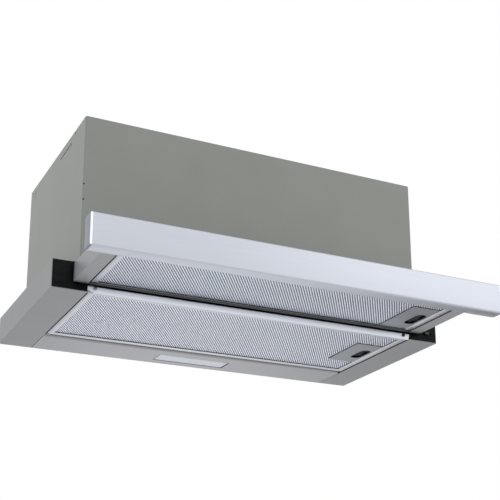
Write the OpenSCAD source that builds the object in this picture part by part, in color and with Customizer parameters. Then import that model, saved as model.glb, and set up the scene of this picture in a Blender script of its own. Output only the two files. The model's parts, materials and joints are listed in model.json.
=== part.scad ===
// Telescopic range hood. A tall casing hides in a wall cabinet, a wider base closes the cabinet
// from below, and a tray with a second grease filter pulls out of the base towards the cook.
// Millimetres. X = 0 is the middle, Y runs from the fascia to the wall, Z = 0 is the underside.
// The tray is drawn pulled out, and the origin is the middle of that outline's underside.

/* [Base] */
// Width of the base and of the fascia
hood_w = 598; // [580:1:640]
// Depth of the base and of the casing
hood_d = 280; // [276:1:310]
// Height of the base
base_h = 40; // [39:0.5:48]
// Width of the painted flange along each side of the underside
flange_w = 49; // [46:0.5:52]
// Depth of the strip behind the base filter, which holds the lamp
strip_d = 71; // [66:1:80]
// Outer radius of the bend along the strip's front edge
strip_bend = 7; // [4:0.5:8]
// Thickness of the steel sheet
sheet = 1; // [0.8:0.1:1.1]

/* [Casing] */
// How far the casing stands in from each side of the base
casing_in = 37; // [36:0.5:45]
// Height of the casing above the base
casing_h = 213; // [210:1:240]
// Outer radius of the casing's two front bends
bend_r = 3; // [2:0.5:5]
// Distance of the upper corner hole below the top
upper_hole_drop = 100.5; // [90:0.5:110]
// Distance of the lower corner hole below the top
lower_hole_drop = 123; // [115:0.5:140]
// Diameter of the corner holes
corner_hole_d = 2.4; // [2:0.1:3]
// Length of the slot near the top of each side
side_slot_l = 56; // [40:1:70]
// Diameter of the wall screw holes in the rear panel
wall_hole_d = 5.2; // [4:0.1:6]
// Distance between the wall screw holes along the width
wall_hole_x = 400; // [380:1:440]
// Distance between the wall screw holes in height
wall_hole_z = 120; // [100:1:140]

/* [Tray and fascia] */
// How far the tray pulls out
tray_travel = 138.8; // [134:0.2:142]
// Distance from each side of the base to the tray's side wall
tray_in = 29.3; // [28.4:0.1:30.5]
// Gap between the closed fascia and the base
fascia_gap = 1.2; // [1:0.1:2]
// Thickness of the fascia, front to back
fascia_t = 22; // [18:0.5:28]
// Height of the fascia
fascia_h = 42; // [39:0.5:44]
// Thickness of the fascia's steel
fascia_sheet = 1.2; // [1:0.1:1.5]
// Length of each moulded fascia cap along the width
cap_l = 3; // [2:0.5:5]

/* [Filters] */
// Height of a filter
filter_h = 9; // [8:0.5:9.5]
// Visible width of a filter frame at its hinged end
frame_left = 9; // [8:0.5:12]
// Visible width of a filter frame at its latched end
frame_right = 12; // [10:0.5:14]
// Gap between the base filter and the strip behind it
groove_w = 7.5; // [3:0.5:9]
// Thickness of a filter frame's aluminium
foil = 0.8; // [0.6:0.1:1]
// Thickness of the layered aluminium core
core_t = 2; // [1.5:0.1:4]
// Length of a filter's handle plate, front to back
handle_l = 91; // [80:1:94]
// Width of a filter's handle plate
handle_w = 45; // [42:0.5:48]
// Length of the finger slot
slot_l = 44; // [38:1:46]
// Width of the finger slot
slot_w = 17; // [14:0.5:18]
// Travel of a filter latch
latch_travel = 5; // [4:0.5:6]
// Diameter of a filter's hinge pegs
peg_d = 2.5; // [2:0.1:2.6]

/* [Slides] */
// Width of a ball slide
slide_w = 13; // [12:0.1:14]
// Height of a ball slide's fixed rail
slide_h = 22; // [20:0.5:23]
// Length of the runner on the tray
runner_l = 100; // [96:1:102]
// Diameter of a slide's balls
ball_d = 4; // [3.6:0.1:4.2]

/* [Blower] */
// Diameter of the impeller
impeller_d = 140; // [130:1:142]
// Width of the blower housing
blower_w = 120; // [110:1:130]
// Number of impeller blades
blade_n = 32; // [24:1:40]
// Diameter of the motor
motor_d = 76; // [70:1:80]
// Diameter of the motor's shaft
shaft_d = 8; // [6:0.5:10]
// Outer diameter of the duct collar
collar_d = 120; // [112:1:125]
// Height of the duct collar above the casing
collar_h = 28; // [24:1:40]

/* [Lamp and switches] */
// Length of the lamp lens
lens_l = 118; // [100:1:130]
// Depth of the lamp lens
lens_d = 30; // [26:1:34]
// Distance of the lens's middle from the back
lamp_in = 31.5; // [28:0.5:34]
// Travel of the light switch
light_travel = 7; // [5:0.5:8]
// Travel of the speed switch over its three steps
speed_travel = 10; // [8:0.5:10]

/* [Hidden] */
$fn = 48;

// The main planes
reach = tray_travel + fascia_gap + fascia_t;
front_y = (reach - hood_d) / 2;
back_y = front_y + hood_d;
fascia_back = front_y - fascia_gap - tray_travel;
fascia_front = fascia_back - fascia_t;
top_z = base_h + casing_h;
hood_x = hood_w / 2;
casing_x = hood_x - casing_in;
hole_x = hood_x - flange_w;
tray_x = hood_x - tray_in;
web_x = tray_x + slide_w;
strip_y = back_y - strip_d;

// Filters: how they sit in the base and in the tray
filter_lift = 0.4;
filter_side_gap = 1.6;
stop_gap = 0.6;
lip_h = filter_lift + filter_h + stop_gap + sheet;
lip_return = 6;
filter_x = hole_x - filter_side_gap;
hook_room = 2.4;
hook_t = 1.6;
hook_lift = 0.1;
hook_out = 4.5;
peg_l = 2.2;
peg_gap = 0.05;
peg_in = 2.4;
peg_x = peg_in - filter_x;
peg_rise = 1.8;
tray_gap = 1;
tray_z = lip_h + tray_gap;
tray_clear = 1.5;
tray_top = base_h - sheet - tray_clear;
tray_cover_y = front_y + 8;
tray_rail_y = front_y + 0.9;
drop_gap = 5.5;
fit_gap = 0.3;
base_filter_y = [front_y + sheet + hook_room, strip_y - groove_w];
tray_filter_y = [fascia_back + sheet + hook_room, front_y - drop_gap];
base_slot_shift = -2.5;
tray_slot_shift = 17;
base_handle_y = (base_filter_y[0] + base_filter_y[1]) / 2 + base_slot_shift;
tray_handle_y = (tray_filter_y[0] + tray_filter_y[1]) / 2 + tray_slot_shift;
base_margin = [6.6, 10.5];
tray_margin = [7.6, 2.5];
frame_top = filter_h - foil;

// Handle plate and latch, measured from the filter's latched end
handle_x = [filter_x - frame_right - fit_gap - handle_w, filter_x - frame_right - fit_gap];
cup_in = 7;
cup_x = handle_x[0] + cup_in;
cup_w = 50;
cup_h = 7.2;
slot_in = 2.6;
slot_x = handle_x[1] - slot_in - slot_w;
plate_shift = 2;
latch_w = 20;
latch_t = 2;
latch_rise = 3;
latch_reach = latch_travel - 1.5;
latch_hole_gap = 0.4;
grip_w = 30;
grip_t = 1.5;
grip_x = slot_x + slot_w - grip_t;

// Slides
slide_t = 1.2;
slide_z = (tray_z + tray_top) / 2;
web_y = front_y + 26;
slide_y = web_y + 2;
slide_stop = 0.8;
rail_lip = 9.2;
runner_gap = 2;
runner_y = slide_y + slide_t + slide_stop;
slide_l = runner_l + tray_travel + 2 * (slide_t + slide_stop);
ball_gap = 0.1;
rail_in = slide_h / 2 - slide_t;
runner_out = rail_in - ball_d - 2 * ball_gap;
runner_t = 1;
ball_x = tray_x + slide_w / 2 + 0.3;
ball_z = (rail_in + runner_out) / 2;
ball_n = 3;
ball_pitch = 10;
cage_l = ball_n * ball_pitch;
cage_t = 0.8;
cage_gap = 0.7;
cage_out = 3.2;
cage_y = runner_y + runner_l - cage_l - 1;
tray_end_y = runner_y + runner_l + 2;

// Blower
wall = 2;
impeller_r = impeller_d / 2;
scroll_r0 = impeller_r + 6;
scroll_grow = 32;
tongue_a = 95;
scroll_n = 44;
blower_clear = 7;
blower_x = blower_w / 2;
blower_back = 120;
lowest_a = 270;
blower_y = front_y + blower_back;
blower_z = base_h + blower_clear + scroll_r(lowest_a) + wall;
inlet_in = 18;
inlet_r = impeller_r - inlet_in;
ring_t = 1.5;
ring_w = 10;
impeller_gap = 10;
impeller_x = blower_x - impeller_gap;
blade_depth = 13;
blade_in = impeller_r - blade_depth;
blade_seat = 1.5;
blade_t = 1;
blade_a = 35;
hub_r = 14;
motor_r = motor_d / 2;
motor_gap = 8;
motor_x = [-blower_x - ring_t, -motor_gap];
arm_t = 3;
arm_w = 14;
stator_t = 9.5;
stator_r = motor_r - stator_t;
rotor_gap = 0.5;
bearing_r = 11;
bearing_l = 7;
shaft_r = shaft_d / 2;
shaft_tail = 6;
shaft_end = 12;
run_gap = 0.04;
collar_r = collar_d / 2;
collar_wall = 1.8;
collar_y = blower_y + (scroll_r(360) + scroll_r0 * cos(tongue_a)) / 2;
collar_flange = 12;
pin_z = top_z + 8;
pin_r = 1.5;
boss = 3.5;
boss_in = 6;
flap_notch = 0.8;
ledge_z = 6;
ledge_w = 2;
ledge_t = 1;
ring_h = 2;
flap_t = 1;
flap_start = 4.5;
front_knuckle_x = 12;
rear_knuckle_x = 24;
flap_r = collar_r - collar_wall - 0.6;
knuckle_r = 3;
knuckle_l = 8;

// Lamp
lamp_y = back_y - lamp_in;
lens_fit = 0.3;
lens_rim = 3;
lens_lift = 0.3;
lens_top = 2 * sheet + 1.2;
lamp_h = 18;
lamp_board_w = 16;
lamp_board_t = 1.6;
diode_w = 4;
diode_h = 1;
diode_n = 5;

// Switches on the right front plate
plate_t = 3;
plate_in = 0.4;
plate_gap = 0.9;
plate_edge = 0.4;
plate_lift = 0.2;
plate_rim = 3;
plate_recess = 0.4;
knob_w = 8;
knob_h = 4;
knob_out = 3;
stem_w = 3;
stem_h = 2.4;
stem_l = 4;
switch_d = 18;
light_z = 14;
speed_z = 27;
switch_in = 13.5;
switch_x = hood_x - switch_in;
switch_edge = 8;

// The scroll's inner radius at angle a, from the tongue round to the outlet
function scroll_r(a) = scroll_r0 + scroll_grow * (a - tongue_a) / (360 - tongue_a);

// The scroll's outline in Y and Z, grown outwards by w
function scroll_points(w) = concat(
    [for (i = [0:scroll_n]) let (a = tongue_a + (360 - tongue_a) * i / scroll_n)
        (scroll_r(a) + w) * [cos(a), sin(a)]],
    [[scroll_r(360) + w, top_z - sheet - blower_z],
     [scroll_r0 * cos(tongue_a) - w, top_z - sheet - blower_z]]
);

// A box from corner a to corner b
module block(a, b) {
    translate(a) cube(b - a);
}

// The shape and its mirror image on the other side of X = 0
module both_sides() {
    children();
    mirror([1, 0, 0]) children();
}

// A profile drawn in Y and Z, carried along X
module along_x(x0, x1) {
    translate([x0, 0, 0]) rotate([90, 0, 90]) linear_extrude(x1 - x0) children();
}

// A round bar or hole along X, Y or Z, from one place to another
module bar_x(x0, x1, y, z, r) {
    translate([x0, y, z]) rotate([0, 90, 0]) cylinder(r = r, h = x1 - x0);
}
module bar_y(y0, y1, x, z, r) {
    translate([x, y0, z]) rotate([-90, 0, 0]) cylinder(r = r, h = y1 - y0);
}
module bar_z(z0, z1, x, y, r) {
    translate([x, y, z0]) cylinder(r = r, h = z1 - z0);
}

// Casing outline seen from above, taken in by inset, with round front corners
module wrap_outline(inset, y1) {
    x = casing_x - inset;
    y0 = front_y + inset;
    r = bend_r - inset;
    translate([-x, y0 + r]) square([2 * x, y1 - y0 - r]);
    translate([r - x, y0]) square([2 * (x - r), r + 1]);
    for (s = [-1, 1]) translate([s * (x - r), y0 + r]) circle(r = r);
}

lap_w = 12;
hem_w = 12;
slot_y = front_y + 64;
slot_drop = 12.5;
slot_t = 1.6;
notch_y = front_y + 47;
notch_w = 3;
notch_h = 5;
side_screw_y = back_y - 19;
side_screw_z = top_z - 9.5;
side_screw_r = 1.5;

// Front and sides of the casing, folded from one sheet
module body_wrap() color("#8b8d86") {
    difference() {
        union() {
            translate([0, 0, base_h]) linear_extrude(casing_h) difference() {
                wrap_outline(0, back_y);
                wrap_outline(sheet, back_y + 1);
            }
            block([-casing_x + bend_r, front_y, base_h],
                  [casing_x - bend_r, front_y + hem_w, base_h + sheet]);
            both_sides() {
                block([casing_x - sheet, front_y + bend_r, base_h - 2 * sheet],
                      [casing_x, back_y - sheet, base_h]);
                block([casing_x - sheet, front_y + bend_r, base_h - 2 * sheet],
                      [casing_x + lap_w, back_y - sheet, base_h - sheet]);
            }
        }
        both_sides() {
            block([casing_x - 2 * sheet, slot_y, top_z - slot_drop - slot_t / 2],
                  [casing_x + 1, slot_y + side_slot_l, top_z - slot_drop + slot_t / 2]);
            block([casing_x - 2 * sheet, notch_y, top_z - notch_h],
                  [casing_x + 1, notch_y + notch_w, top_z + 1]);
            bar_x(casing_x - 2 * sheet, casing_x + 1, side_screw_y, side_screw_z, side_screw_r);
            for (drop = [upper_hole_drop, lower_hole_drop]) translate([casing_x, front_y, top_z - drop])
                rotate([0, 90, -45]) cylinder(d = corner_hole_d, h = 4 * bend_r, center = true);
        }
    }
}

panel_gap = 0.1;
panel_flange = 14;
gland_in = 62;
gland_x = casing_x - gland_in;
gland_back = 60;
gland_y = back_y - gland_back;
gland_r = 6;
gland_down = 9;
gland_foot = 4;
gland_up = 10;
nut_h = 5;
cord_r = 3.75;

// Lid of the casing, with the duct hole and the hole of the cable gland
module top_panel() color("#a9aca8") {
    x = casing_x - sheet - panel_gap;
    difference() {
        union() {
            block([-x, front_y + sheet + panel_gap, top_z - sheet],
                  [x, back_y - sheet - panel_gap, top_z]);
            both_sides() block([x - sheet, front_y + bend_r, top_z - panel_flange],
                               [x, back_y - hem_w - sheet, top_z]);
        }
        bar_z(top_z - 2, top_z + 1, 0, collar_y, collar_r - collar_wall);
        bar_z(top_z - 2, top_z + 1, gland_x, gland_y, gland_r + fit_gap);
        both_sides() bar_x(x - 2 * sheet, x + 1, side_screw_y, side_screw_z, side_screw_r);
    }
}

// Back of the casing, with four screw holes for the wall
module rear_panel() color("#8b8d86") {
    x = casing_x - sheet;
    z_mid = base_h + casing_h / 2;
    difference() {
        union() {
            block([-x, back_y - sheet, base_h - sheet], [x, back_y, top_z]);
            both_sides() block([x - sheet, back_y - hem_w, base_h + 2], [x, back_y, top_z - 16]);
        }
        for (sx = [-1, 1], sz = [-1, 1])
            bar_y(back_y - 2, back_y + 1, sx * wall_hole_x / 2, z_mid + sz * wall_hole_z / 2,
                  wall_hole_d / 2);
    }
}

// Two side channels joined by the rear wall. The rim on top seats under the cabinet.
module base_frame() color("#8f918c") {
    difference() {
        union() {
            both_sides() {
                block([casing_x, front_y, base_h - sheet], [hood_x, back_y, base_h]);
                block([hood_x - sheet, front_y, 0], [hood_x, back_y, base_h]);
                block([hole_x, front_y, 0], [hood_x, back_y, sheet]);
                block([hole_x, front_y + 4, 0], [hole_x + sheet, strip_y, lip_h]);
                block([hole_x - lip_return, front_y + 10, lip_h - sheet],
                      [hole_x + sheet, strip_y - 8, lip_h]);
                block([web_x, web_y, 0], [web_x + sheet, back_y, base_h]);
            }
            block([-hood_x, back_y - sheet, 0], [hood_x, back_y, base_h - sheet]);
        }
        latch_hole(base_handle_y, filter_lift, hole_x - 1, hole_x + 2 * sheet);
    }
}

// The hole that a latch nose goes into
module latch_hole(y, z0, x0, x1) {
    half = latch_w / 2 + latch_hole_gap;
    block([x0, y - half, z0 + latch_rise - latch_hole_gap],
          [x1, y + half, z0 + latch_rise + latch_t + latch_hole_gap]);
}

lap_l = 6;
lap_gap = 2;
seam = 0.5;
strip_return = 3;

// Section of the strip in Y and Z: flat, bent up along its front edge, and bent back on top
module strip_section() {
    translate([strip_y + strip_bend, 0]) square([back_y - sheet - strip_y - strip_bend, sheet]);
    intersection() {
        translate([strip_y, 0]) square(strip_bend);
        translate([strip_y + strip_bend, strip_bend]) difference() {
            circle(r = strip_bend);
            circle(r = strip_bend - sheet);
        }
    }
    translate([strip_y, strip_bend]) square([sheet, lip_h - strip_bend]);
    translate([strip_y - strip_return, lip_h - sheet]) square([strip_return + sheet, sheet]);
}

// Strip of the underside behind the base filter, with the lamp's cut-out
module rear_strip() color("#a2a4a6") {
    difference() {
        union() {
            along_x(-hole_x + seam, hole_x - seam) strip_section();
            block([-hole_x - lap_l, strip_y + strip_bend + lap_gap, sheet],
                  [hole_x + lap_l, back_y - sheet - lap_gap, 2 * sheet]);
        }
        block([-lens_l / 2 - lens_fit, lamp_y - lens_d / 2 - lens_fit, -1],
              [lens_l / 2 + lens_fit, lamp_y + lens_d / 2 + lens_fit, 3 * sheet]);
    }
}

rail_screw_in = 10;
rail_screw_x = hole_x - rail_screw_in;
rail_screw_z = 6;
rail_flange = 9;
rail_screw_r = 1.3;
screw_head_r = 2.5;
screw_head_t = 0.8;

// Cross rail in front of the base filter, under the tray
module front_rail() color("#c4c8ce") {
    difference() {
        union() {
            block([-hole_x, front_y, 0], [hole_x, front_y + sheet, lip_h]);
            block([-hole_x, front_y, lip_h - sheet], [hole_x, front_y + rail_flange, lip_h]);
        }
        both_sides() bar_y(front_y - 1, front_y + 2, rail_screw_x, rail_screw_z, rail_screw_r);
    }
}

// Screws at both ends of the front rail
module rail_screws() color("#b8bcc2") both_sides() {
    bar_y(front_y, front_y + 2, rail_screw_x, rail_screw_z, rail_screw_r - 0.02);
    bar_y(front_y - screw_head_t, front_y, rail_screw_x, rail_screw_z, screw_head_r);
}

// Black moulded plate that closes the front end of a side channel, on the right-hand side
module front_plate() {
    y0 = front_y + plate_in;
    x1 = hood_x - sheet - plate_edge;
    difference() {
        union() {
            block([tray_x + plate_gap, y0, sheet + plate_lift],
                  [x1, y0 + plate_t, base_h - sheet - plate_edge]);
            block([hole_x + plate_edge, y0, sheet + plate_lift],
                  [x1, y0 + plate_t, lip_h + plate_lift]);
        }
        block([tray_x + plate_gap + plate_rim, y0 - 1, sheet + plate_rim],
              [x1 - 2, y0 + plate_recess, base_h - sheet - plate_rim]);
    }
}
module left_front_plate() color("#1e2022") mirror([1, 0, 0]) front_plate();
module right_front_plate() color("#1e2022") difference() {
    front_plate();
    for (way = [[light_z, light_travel], [speed_z, speed_travel]])
        stem_slot(way[0], way[1], front_y - 1, front_y + plate_in + plate_t + 1);
}

// The slot that a switch stem slides in, with the stem at its left end at rest
module stem_slot(z, travel, y0, y1) {
    x0 = switch_x - travel / 2 - stem_w / 2 - fit_gap;
    block([x0, y0, z - stem_h / 2 - fit_gap],
          [x0 + travel + stem_w + 2 * fit_gap, y1, z + stem_h / 2 + fit_gap]);
}

// Slide knob, at the left end of its travel
module knob(z, travel) {
    x = switch_x - travel / 2;
    y = front_y + plate_in + plate_recess - fit_gap;
    block([x - knob_w / 2, y - knob_out, z - knob_h / 2], [x + knob_w / 2, y, z + knob_h / 2]);
    block([x - stem_w / 2, y - 1, z - stem_h / 2],
          [x + stem_w / 2, front_y + plate_in + plate_t + stem_l, z + stem_h / 2]);
}
module light_knob() color("#8f9398") knob(light_z, light_travel);
module speed_knob() color("#8f9398") knob(speed_z, speed_travel);

// Switch body behind the right front plate, with the grooves that the stems run in
module switch_box() color("#2a2c30") {
    y0 = front_y + plate_in + plate_t;
    difference() {
        block([tray_x + 2, y0, light_z - switch_edge],
              [hood_x - sheet - 1, y0 + switch_d, speed_z + switch_edge]);
        for (way = [[light_z, light_travel], [speed_z, speed_travel]])
            stem_slot(way[0], way[1], y0 - 1, y0 + stem_l + 1);
    }
}

// Plate with an open slot that a filter's hinge peg turns in
module hook(y0, z0) {
    z = z0 + filter_lift + peg_rise;
    r = peg_d / 2 + peg_gap;
    difference() {
        block([-hole_x, y0, z0 + hook_lift], [peg_x + hook_out, y0 + hook_t, z0 + lip_h - sheet]);
        bar_y(y0 - 1, y0 + hook_t + 1, peg_x, z, r);
        block([peg_x, y0 - 1, z - r], [peg_x + hook_out + 1, y0 + hook_t + 1, z + r]);
    }
}

// The two hooks of a filter that lies between y[0] and y[1]
module hook_pair(y, z0) {
    hook(y[0] - hook_room, z0);
    hook(y[1] + hook_room - hook_t, z0);
}
module filter_hooks() color("#b4b8bc") hook_pair(base_filter_y, 0);
module tray_filter_hooks() color("#b4b8bc") hook_pair(tray_filter_y, tray_z);

// Frosted cover of the lamp, held by its rim on the strip
module lamp_lens() color("#dcdfe4") {
    x = lens_l / 2;
    y = lens_d / 2;
    block([-x, lamp_y - y, lens_lift], [x, lamp_y + y, lens_top]);
    block([-x - lens_rim, lamp_y - y - lens_rim, 2 * sheet],
          [x + lens_rim, lamp_y + y + lens_rim, lens_top]);
}
module lamp_housing() color("#d0d2d4") {
    x = lens_l / 2 + lens_rim;
    y = lens_d / 2 + lens_rim;
    difference() {
        block([-x, lamp_y - y, lens_top], [x, lamp_y + y, lens_top + lamp_h]);
        block([-x + wall, lamp_y - y + wall, lens_top - 1],
              [x - wall, lamp_y + y - wall, lens_top + lamp_h - wall]);
    }
}
module lamp_board() color("#e8e8e0") {
    z1 = lens_top + lamp_h - wall;
    z0 = z1 - lamp_board_t;
    half = diode_w / 2;
    block([-lens_l / 2, lamp_y - lamp_board_w / 2, z0], [lens_l / 2, lamp_y + lamp_board_w / 2, z1]);
    for (i = [0:diode_n - 1]) let (x = (i - (diode_n - 1) / 2) * lens_l / diode_n)
        block([x - half, lamp_y - half, z0 - diode_h], [x + half, lamp_y + half, z0]);
}

// Fixed rail of the right-hand ball slide, with a stop at each end
module slide_rail() {
    x0 = web_x - rail_lip;
    y1 = slide_y + slide_l;
    block([web_x - slide_t, slide_y, slide_z - slide_h / 2], [web_x, y1, slide_z + slide_h / 2]);
    for (s = [-1, 1]) translate([0, 0, slide_z + s * (rail_in + slide_t / 2) - slide_t / 2])
        block([x0, slide_y, 0], [web_x, y1, slide_t]);
    for (y = [slide_y, y1 - slide_t])
        block([x0, y, slide_z - rail_in], [web_x, y + slide_t, slide_z + rail_in]);
}
module left_slide_rail() color("#b9bdc2") mirror([1, 0, 0]) slide_rail();
module right_slide_rail() color("#b9bdc2") slide_rail();

// Runner of the right-hand ball slide, fixed to the tray's side wall
module slide_runner() {
    y1 = runner_y + runner_l;
    block([tray_x, runner_y, slide_z - runner_out],
          [tray_x + runner_t, y1, slide_z + runner_out]);
    for (z = [slide_z - runner_out, slide_z + runner_out - runner_t])
        block([tray_x, runner_y, z], [web_x - slide_t - runner_gap, y1, z + runner_t]);
}
module left_slide_runner() color("#c3c7cc") mirror([1, 0, 0]) slide_runner();
module right_slide_runner() color("#c3c7cc") slide_runner();

// Ball cage of the right-hand slide, which moves half as far as the tray
module ball_cage() {
    x1 = web_x - slide_t - cage_gap;
    difference() {
        union() {
            block([x1 - cage_t, cage_y, slide_z - ball_z - cage_t / 2],
                  [x1, cage_y + cage_l, slide_z + ball_z + cage_t / 2]);
            for (s = [-1, 1]) translate([0, 0, slide_z + s * ball_z - cage_t / 2])
                block([ball_x - cage_out, cage_y, 0], [x1, cage_y + cage_l, cage_t]);
        }
        for (i = [0:ball_n - 1])
            bar_z(slide_z - ball_z - 1, slide_z + ball_z + 1, ball_x,
                  cage_y + (i + 0.5) * ball_pitch, ball_d / 2 + 0.2);
    }
    for (i = [0:ball_n - 1], s = [-1, 1])
        translate([ball_x, cage_y + (i + 0.5) * ball_pitch, slide_z + s * ball_z])
            sphere(d = ball_d);
}
module left_ball_cage() color("#9aa0a6") mirror([1, 0, 0]) ball_cage();
module right_ball_cage() color("#9aa0a6") ball_cage();

cross_d = 10;
cross_z = tray_top - 7;

// The tray: side walls, bottom flanges, seats for its filter, cover and rear cross member
module tray_pan() color("#8f918c") {
    y0 = fascia_front + fascia_sheet;
    seat_y = tray_rail_y + sheet;
    difference() {
        union() {
            both_sides() {
                block([tray_x - sheet, y0, tray_z], [tray_x, tray_end_y, tray_top]);
                block([hole_x, fascia_back, tray_z], [tray_x, tray_end_y, tray_z + sheet]);
                block([hole_x, fascia_back, tray_z], [hole_x + sheet, seat_y, tray_z + lip_h]);
                block([hole_x - lip_return, fascia_back + 8, tray_z + lip_h - sheet],
                      [hole_x + sheet, seat_y, tray_z + lip_h]);
            }
            block([-tray_x, y0, tray_top - sheet], [tray_x, tray_cover_y, tray_top]);
            block([-tray_x, y0, tray_z], [tray_x, y0 + sheet, tray_top]);
            block([-hole_x, fascia_back, tray_z], [hole_x, fascia_back + sheet, tray_z + lip_h]);
            block([-hole_x, tray_rail_y, tray_z], [hole_x, seat_y, tray_z + lip_h]);
            block([-tray_x, tray_end_y - cross_d, cross_z],
                  [tray_x, tray_end_y, cross_z + sheet]);
        }
        latch_hole(tray_handle_y, tray_z + filter_lift, hole_x - 1, hole_x + 2 * sheet);
        for (x = fascia_screw_x)
            bar_y(y0 - 1, y0 + 2 * sheet, x, fascia_screw_z, fascia_screw_r);
    }
}

edge_r = 2;

// Fascia section in Y and Z, taken in by inset, with round front edges
module fascia_outline(inset, y1) {
    y0 = fascia_front + inset;
    z0 = inset;
    z1 = fascia_h - inset;
    r = max(edge_r - inset, 0.2);
    translate([y0 + r, z0]) square([y1 - y0 - r, z1 - z0]);
    translate([y0, z0 + r]) square([r + 1, z1 - z0 - 2 * r]);
    for (z = [z0 + r, z1 - r]) translate([y0 + r, z]) circle(r = r);
}

fascia_screw_r = 1.6;
fascia_screw_x = [for (i = [-1.5:1.5]) i * tray_x / 2];
fascia_screw_z = (tray_z + tray_top) / 2;

// Brushed steel fascia, a channel that is open at the back
module fascia() color("#d3d7dd") {
    x = hood_x - cap_l;
    along_x(-x, x) difference() {
        fascia_outline(0, fascia_back);
        fascia_outline(fascia_sheet, fascia_back + 1);
    }
    block([-hole_x, fascia_back - fascia_sheet, 0], [hole_x, fascia_back, lip_h]);
}

// Cap that closes the right-hand end of the fascia, with a plug inside the channel
module fascia_cap() {
    along_x(hood_x - cap_l, hood_x) fascia_outline(0, fascia_back);
    plug = 8;
    along_x(hood_x - cap_l - plug, hood_x - cap_l) difference() {
        fascia_outline(fascia_sheet + 0.1, fascia_back - 1);
        fascia_outline(fascia_sheet + 1.1, fascia_back + 1);
    }
}
module fascia_left_cap() color("#a9afba") mirror([1, 0, 0]) fascia_cap();
module fascia_right_cap() color("#a9afba") fascia_cap();

// Screws that hold the fascia to the tray
module fascia_screws() color("#b8bcc2") {
    y = fascia_front + fascia_sheet;
    for (x = fascia_screw_x) {
        bar_y(y, y + sheet, x, fascia_screw_z, fascia_screw_r - 0.02);
        bar_y(y + sheet, y + sheet + 2, x, fascia_screw_z, 3);
    }
}

// Folded aluminium frame of a filter, with its two hinge pegs
module filter_frame(y, z0, margin, handle_y) {
    difference() {
        block([-filter_x, y[0], z0], [filter_x, y[1], z0 + filter_h]);
        block([-filter_x + frame_left, y[0] + margin[0], z0 - 1],
              [filter_x - frame_right, y[1] - margin[1], z0 + filter_h + 1]);
        block([-filter_x + foil, y[0] + foil, z0 + foil],
              [filter_x - foil, y[1] - foil, z0 + frame_top]);
        latch_hole(handle_y, z0, filter_x - 2 * foil, filter_x + 1);
    }
    bar_y(y[0] - peg_l, y[0] + foil, peg_x, z0 + peg_rise, peg_d / 2);
    bar_y(y[1] - foil, y[1] + peg_l, peg_x, z0 + peg_rise, peg_d / 2);
}

// A layer inside a filter frame, cut out around the latch's cup
module filter_layer(y, z0, z1, handle_y) {
    inset = foil + fit_gap;
    difference() {
        block([-filter_x + inset, y[0] + inset, z0], [filter_x - inset, y[1] - inset, z1]);
        block([cup_x - fit_gap, handle_y - cup_w / 2 - fit_gap, z0 - 1],
              [filter_x, handle_y + cup_w / 2 + fit_gap, z1 + 1]);
    }
}
mesh_t = 1;
module filter_mesh(y, z0, handle_y) filter_layer(y, z0 + foil, z0 + foil + mesh_t, handle_y);
module filter_core(y, z0, handle_y)
    filter_layer(y, z0 + foil + mesh_t, z0 + foil + mesh_t + core_t, handle_y);

// Handle plate with its finger slot, and the cup over it that guides the latch
module filter_handle(y, z0) {
    difference() {
        union() {
            block([handle_x[0], y - plate_shift - handle_l / 2, z0],
                  [handle_x[1], y - plate_shift + handle_l / 2, z0 + foil]);
            block([cup_x, y - cup_w / 2, z0], [handle_x[1], y + cup_w / 2, z0 + cup_h]);
        }
        block([cup_x + foil, y - cup_w / 2 + foil, z0 + foil],
              [handle_x[1] + 1, y + cup_w / 2 - foil, z0 + cup_h - foil]);
        block([slot_x, y - slot_l / 2 + slot_w / 2, z0 - 1],
              [slot_x + slot_w, y + slot_l / 2 - slot_w / 2, z0 + 2 * foil]);
        for (s = [-1, 1]) bar_z(z0 - 1, z0 + 2 * foil, slot_x + slot_w / 2,
                                y + s * (slot_l - slot_w) / 2, slot_w / 2);
    }
}

// Sprung latch: a flat bar with a nose at one end and a finger grip at the other
module filter_latch(y, z0) {
    z = z0 + latch_rise;
    block([grip_x, y - latch_w / 2, z], [filter_x + latch_reach, y + latch_w / 2, z + latch_t]);
    block([grip_x, y - grip_w / 2, z0 + foil + fit_gap],
          [grip_x + grip_t, y + grip_w / 2, z + latch_t]);
}

module base_filter_frame() color("#c9cdd3")
    filter_frame(base_filter_y, filter_lift, base_margin, base_handle_y);
module base_filter_mesh() color("#b4b8c0") filter_mesh(base_filter_y, filter_lift, base_handle_y);
module base_filter_core() color("#9ea2aa") filter_core(base_filter_y, filter_lift, base_handle_y);
module base_filter_handle() color("#8e9094") filter_handle(base_handle_y, filter_lift);
module base_filter_latch() color("#55585c") filter_latch(base_handle_y, filter_lift);
module tray_filter_frame() color("#c9cdd3")
    filter_frame(tray_filter_y, tray_z + filter_lift, tray_margin, tray_handle_y);
module tray_filter_mesh() color("#b4b8c0")
    filter_mesh(tray_filter_y, tray_z + filter_lift, tray_handle_y);
module tray_filter_core() color("#9ea2aa")
    filter_core(tray_filter_y, tray_z + filter_lift, tray_handle_y);
module tray_filter_handle() color("#8e9094") filter_handle(tray_handle_y, tray_z + filter_lift);
module tray_filter_latch() color("#55585c") filter_latch(tray_handle_y, tray_z + filter_lift);

// Right half of the blower housing: the scroll's wall and a side plate with its inlet
module blower_shell() translate([0, blower_y, blower_z]) {
    along_x(0, blower_x) difference() {
        polygon(scroll_points(wall));
        polygon(scroll_points(0));
    }
    along_x(blower_x - wall, blower_x) difference() {
        polygon(scroll_points(wall));
        circle(r = inlet_r);
    }
}
module blower_left_shell() color("#3a3d42") mirror([1, 0, 0]) blower_shell();
module blower_right_shell() color("#3a3d42") blower_shell();

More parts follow.
